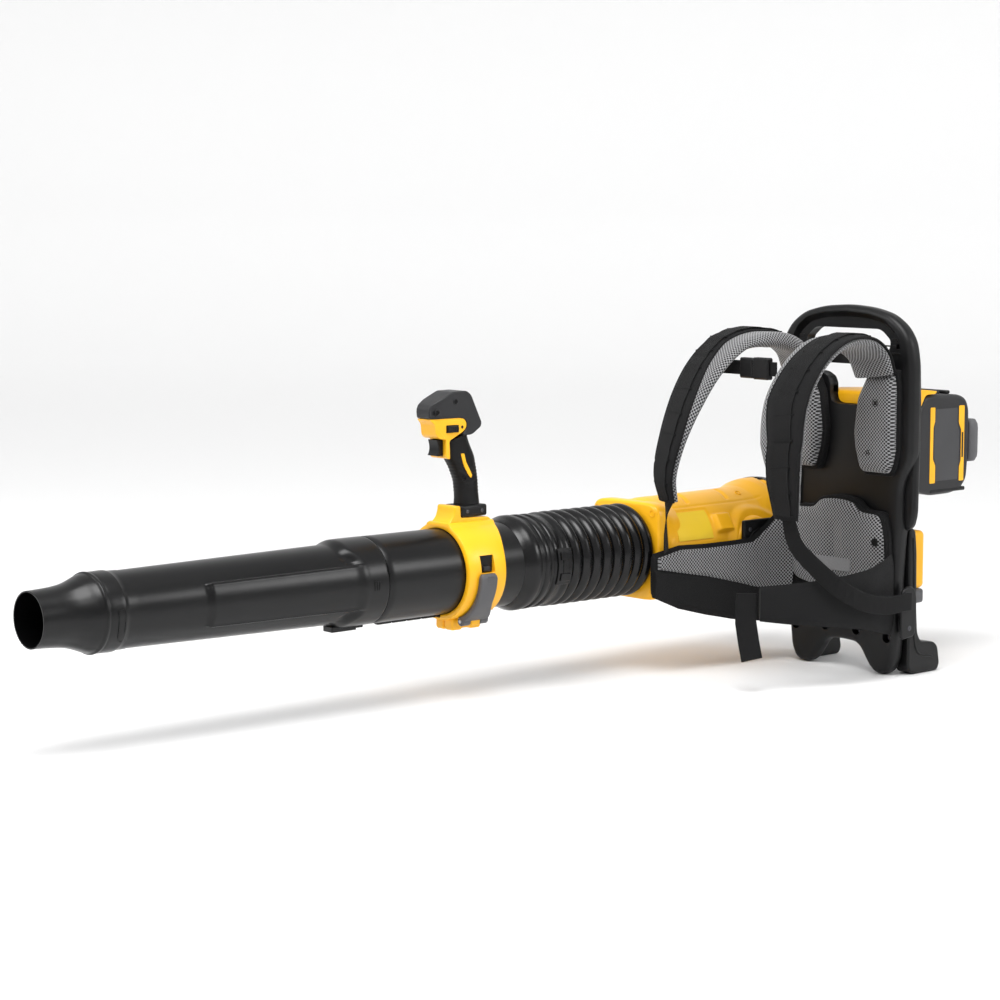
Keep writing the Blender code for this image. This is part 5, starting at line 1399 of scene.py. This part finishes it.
def build_back_pads():
    for side, name in ((1, "back_pad_right"), (-1, "back_pad_left")):
        half = [(0.046, 0.294), (0.036, 0.326), (0.033, 0.352), (0.04, 0.404), (0.058, 0.4375),
                (0.103, 0.4375), (0.1065, 0.416), (0.1065, 0.328), (0.102, 0.306), (0.095, 0.294)]
        outline = rounded([(side * x, z) for x, z in half], 0.006, 5)
        middle = Vector((side * 0.073, 0.362))
        wider = [middle + Vector(((p.x - middle.x) * 1.1, (p.y - middle.y) * 1.07)) for p in outline]
        plate_xz(f"pad_back_{name}", wider, 0.015, 0.0272, FABRIC, bevel=(0.0025,),
                 uvs=flat_uvs(wider))
        dimples = [(side * 0.0777, 0.3953), (side * 0.068, 0.3218)]

        def dented(u, v, dimples=dimples):
            """The pad's face, pulled in at its two rivets."""
            return -0.0035 * sum(exp(-((u - x) ** 2 + (v - z) ** 2) / 0.0075 ** 2) for x, z in dimples)

        pad = cushion(f"pad_{name}", outline, to_front(0.0155), 0.0175, MESH, replaces=(name,),
                      power=9.0, rings_in=16, shape=dented)
        border(f"pad_piping_{name}", outline, 0.0145, 0.0022)
        for x, z in dimples:
            rivet("pad_rivet", x, z, -0.0008)


LUMBAR_HALF = [
    (0.0, 0.2555), (0.0134, 0.2555), (0.033, 0.2525), (0.049, 0.2385), (0.083, 0.237), (0.091, 0.225),
    (0.096, 0.2), (0.098, 0.16), (0.094, 0.136), (0.084, 0.124), (0.05, 0.117), (0.0, 0.114),
]


def build_lumbar():
    outline = rounded(mirrored(LUMBAR_HALF), 0.007, 4)
    middle = Vector((0.0, 0.18))
    plate_xz("lumbar_backing", outline, 0.0125, 0.0272, FABRIC, bevel=(0.003,),
             uvs=flat_uvs(outline))
    inner = [middle + (p - middle) * 0.95 for p in outline]

    def hollow(u, v):
        return -0.0035 * ease(0.02, 0.0, abs(u)) * ease(0.235, 0.2, v)

    pad = cushion("lumbar_cushion", inner, to_front(0.013), 0.013, MESH,
                  replaces=("lumbar_pad",), shape=hollow, power=7.0, rings_in=16)
    border("lumbar_piping", inner, 0.0115, 0.003)
    for side in (-1, 1):
        rivet("lumbar_rivet", side * 0.08, 0.195, 0.0)
    label = rounded(rectangle(-0.035, 0.035, 0.147, 0.166), 0.003, 4)
    plate_xz("lumbar_patch", label, -0.0012, 0.003, BADGE, bevel=(0.0006,),
             uvs=flat_uvs(label))


def wall(name, path, lows, highs, offset, thickness, look, inward=1, **more):
    """An upright padded wall along (x, y) points, between its own low and high edges."""
    centre = catmull([(x, y, 0.0) for x, y in path], 6)
    rows = 10
    rings, uvs = [], []
    gone = 0.0
    for i, point in enumerate(centre):
        t = i / (len(centre) - 1)
        low, high = along(lows, t), along(highs, t)
        ahead = (centre[min(i + 1, len(centre) - 1)] - centre[max(i - 1, 0)]).normalized()
        side = Vector((ahead.y, -ahead.x, 0.0)) * inward
        if i:
            gone += (point - centre[i - 1]).length
        front, back = [], []
        for j in range(rows + 1):
            v = j / rows
            z = low + (high - low) * v
            bulge = (1.0 - abs(2 * v - 1) ** 4) ** 0.5
            front.append((point + side * (offset + 0.5 * thickness * bulge) + Vector((0, 0, z)), (gone, z)))
            back.append((point + side * (offset - 0.5 * thickness * bulge) + Vector((0, 0, z)), (gone, z)))
        ring = front + back[-2:0:-1]
        rings.append([p for p, uv in ring])
        uvs.extend(uv for p, uv in ring)
    return add_piece(name, *skin(rings), look, uvs=uvs, sharp=60.0, **more)


LEFT_WING = [(-0.086, 0.007), (-0.0965, -0.015), (-0.102, -0.035), (-0.104, -0.06), (-0.107, -0.1),
             (-0.11, -0.15), (-0.1135, -0.2), (-0.116, -0.25)]
LEFT_TOP = [0.228, 0.224, 0.205, 0.189, 0.1875, 0.187, 0.1885, 0.18]
LEFT_SEAM = [0.112, 0.11, 0.111, 0.1165, 0.127, 0.139, 0.148, 0.156]
LEFT_LOW = [0.064, 0.063, 0.063, 0.066, 0.072, 0.083, 0.096, 0.117]
RIGHT_WING = [(0.101, 0.01), (0.106, -0.015), (0.1085, -0.05), (0.104, -0.095), (0.092, -0.14),
              (0.074, -0.18), (0.056, -0.213)]
RIGHT_TOP = [0.18, 0.172, 0.163, 0.158, 0.154, 0.151, 0.149]
RIGHT_LOW = [0.062, 0.068, 0.077, 0.084, 0.09, 0.095, 0.1]


def build_belt():
    half = [(0.0, 0.12), (0.08, 0.12), (0.094, 0.13), (0.099, 0.114), (0.097, 0.068), (0.09, 0.063),
            (0.0, 0.0615)]
    outline = rounded(mirrored(half), 0.005, 4)
    belt = cushion("belt_middle", outline, to_front(0.016), 0.009, FABRIC,
                   replaces=("belt_back",), rings_in=8)
    for x in (-0.05, 0.045):
        block("belt_seam", (x - 0.0005, 0.0062, 0.066), (x + 0.0005, 0.0078, 0.112), RUBBER)
    wall("wing_left_shell", LEFT_WING, LEFT_LOW, LEFT_TOP, -0.003, 0.008, FABRIC, inward=-1,
                   replaces=("hip_wing_left",))
    path = LEFT_WING[:-1] + [(-0.1155, -0.243)]
    wall("wing_left_mesh", path, [z + 0.001 for z in LEFT_SEAM], [z - 0.006 for z in LEFT_TOP],
                   0.002, 0.0085, MESH, inward=-1)
    wall("wing_left_panel", LEFT_WING, LEFT_LOW, [z + 0.001 for z in LEFT_SEAM], 0.0015, 0.0085,
                   FABRIC, inward=-1)


def build_right_wing():
    wall("wing_right_shell", RIGHT_WING, RIGHT_LOW, RIGHT_TOP, -0.002, 0.009, FABRIC,
                   replaces=("hip_wing_right",))
    wall("wing_right_lining", RIGHT_WING[:-1] + [(0.058, -0.209)], [z + 0.002 for z in RIGHT_LOW],
                   [z - 0.006 for z in RIGHT_TOP], 0.004, 0.006, MESH)


dress_cad_nodes()
build_frame()
build_feet()
build_anchors()
build_dock()
build_battery()
build_latch()
build_controller()
build_housing()
build_flange()
build_intake()
build_bracket()
build_hose()
build_tubes()
build_nozzle()
build_clamp()
build_lever()
build_grip()
build_head()
build_trigger()
build_strap("right", RIGHT_STRAP, RIGHT_WIDTHS, RIGHT_FLARE, RIGHT_DEPTH, -1, [(1, 0, 0), (1, 0, 0)])
build_strap("left", LEFT_STRAP, LEFT_WIDTHS, LEFT_FLARE, LEFT_DEPTH, 1,
            [(1, 0, 0), (1, -0.1, 0), (1, -0.3, 0)])
build_left_web()
build_back_pads()
build_lumbar()
build_belt()
build_right_wing()


# ================================================================ stage, light and camera
def build_stage():
    """A pale floor that sweeps up behind the object, seen from the photo's side and from all others."""
    rings = []
    count = 96
    for radius, height in ((0.001, -0.0005), (3.0, -0.0005), (6.0, -0.0005), (8.0, 0.02), (10.0, 0.6),
                           (11.5, 2.2), (12.0, 5.0), (12.0, 12.0)):
        rings.append([(radius * cos(2 * pi * k / count), radius * sin(2 * pi * k / count), height)
                      for k in range(count)])
    floor = new_object("floor", *skin(rings, caps=False))
    floor.data.shade_smooth()
    floor.data.materials.append(material("floor", (0.84, 0.84, 0.84), 0.7)[0])


def area_light(name, at, target, size, power):
    data = bpy.data.lights.new(name, "AREA")
    data.shape = "DISK"
    data.size = size
    data.energy = power
    lamp = bpy.data.objects.new(name, data)
    bpy.context.scene.collection.objects.link(lamp)
    lamp.location = at
    lamp.rotation_euler = (Vector(target) - Vector(at)).to_track_quat("-Z", "Y").to_euler()


def build_light():
    world = bpy.data.worlds.new("studio")
    world.use_nodes = True
    bpy.context.scene.world = world
    world.node_tree.nodes["Background"].inputs["Color"].default_value = (1.0, 1.0, 1.0, 1.0)
    world.node_tree.nodes["Background"].inputs["Strength"].default_value = 0.62
    sun = bpy.data.lights.new("soft_sun", "SUN")
    sun.energy = 1.5
    sun.angle = radians(50.0)
    lamp = bpy.data.objects.new("soft_sun", sun)
    bpy.context.scene.collection.objects.link(lamp)
    lamp.rotation_euler = (radians(34.0), radians(8.0), radians(20.0))
    area_light("key", (-1.6, -2.6, 2.2), (0.0, -0.2, 0.25), 1.2, 40.0)
    area_light("top", (0.6, -0.6, 2.4), (0.0, -0.4, 0.2), 1.4, 45.0)
    area_light("rim", (2.2, 1.6, 1.6), (0.0, 0.2, 0.3), 1.0, 22.0)


def build_camera():
    data = bpy.data.cameras.new("camera")
    data.sensor_width = 36.0
    data.lens = 94.14
    camera = bpy.data.objects.new("camera", data)
    bpy.context.scene.collection.objects.link(camera)
    camera.location = place((2.53, -2.85, 0.68))
    camera.rotation_euler = (radians(90.0 - 6.5), 0.0, radians(48.9))
    bpy.context.scene.camera = camera


bpy.context.scene.view_settings.view_transform = "Standard"
build_stage()
build_light()
build_camera()
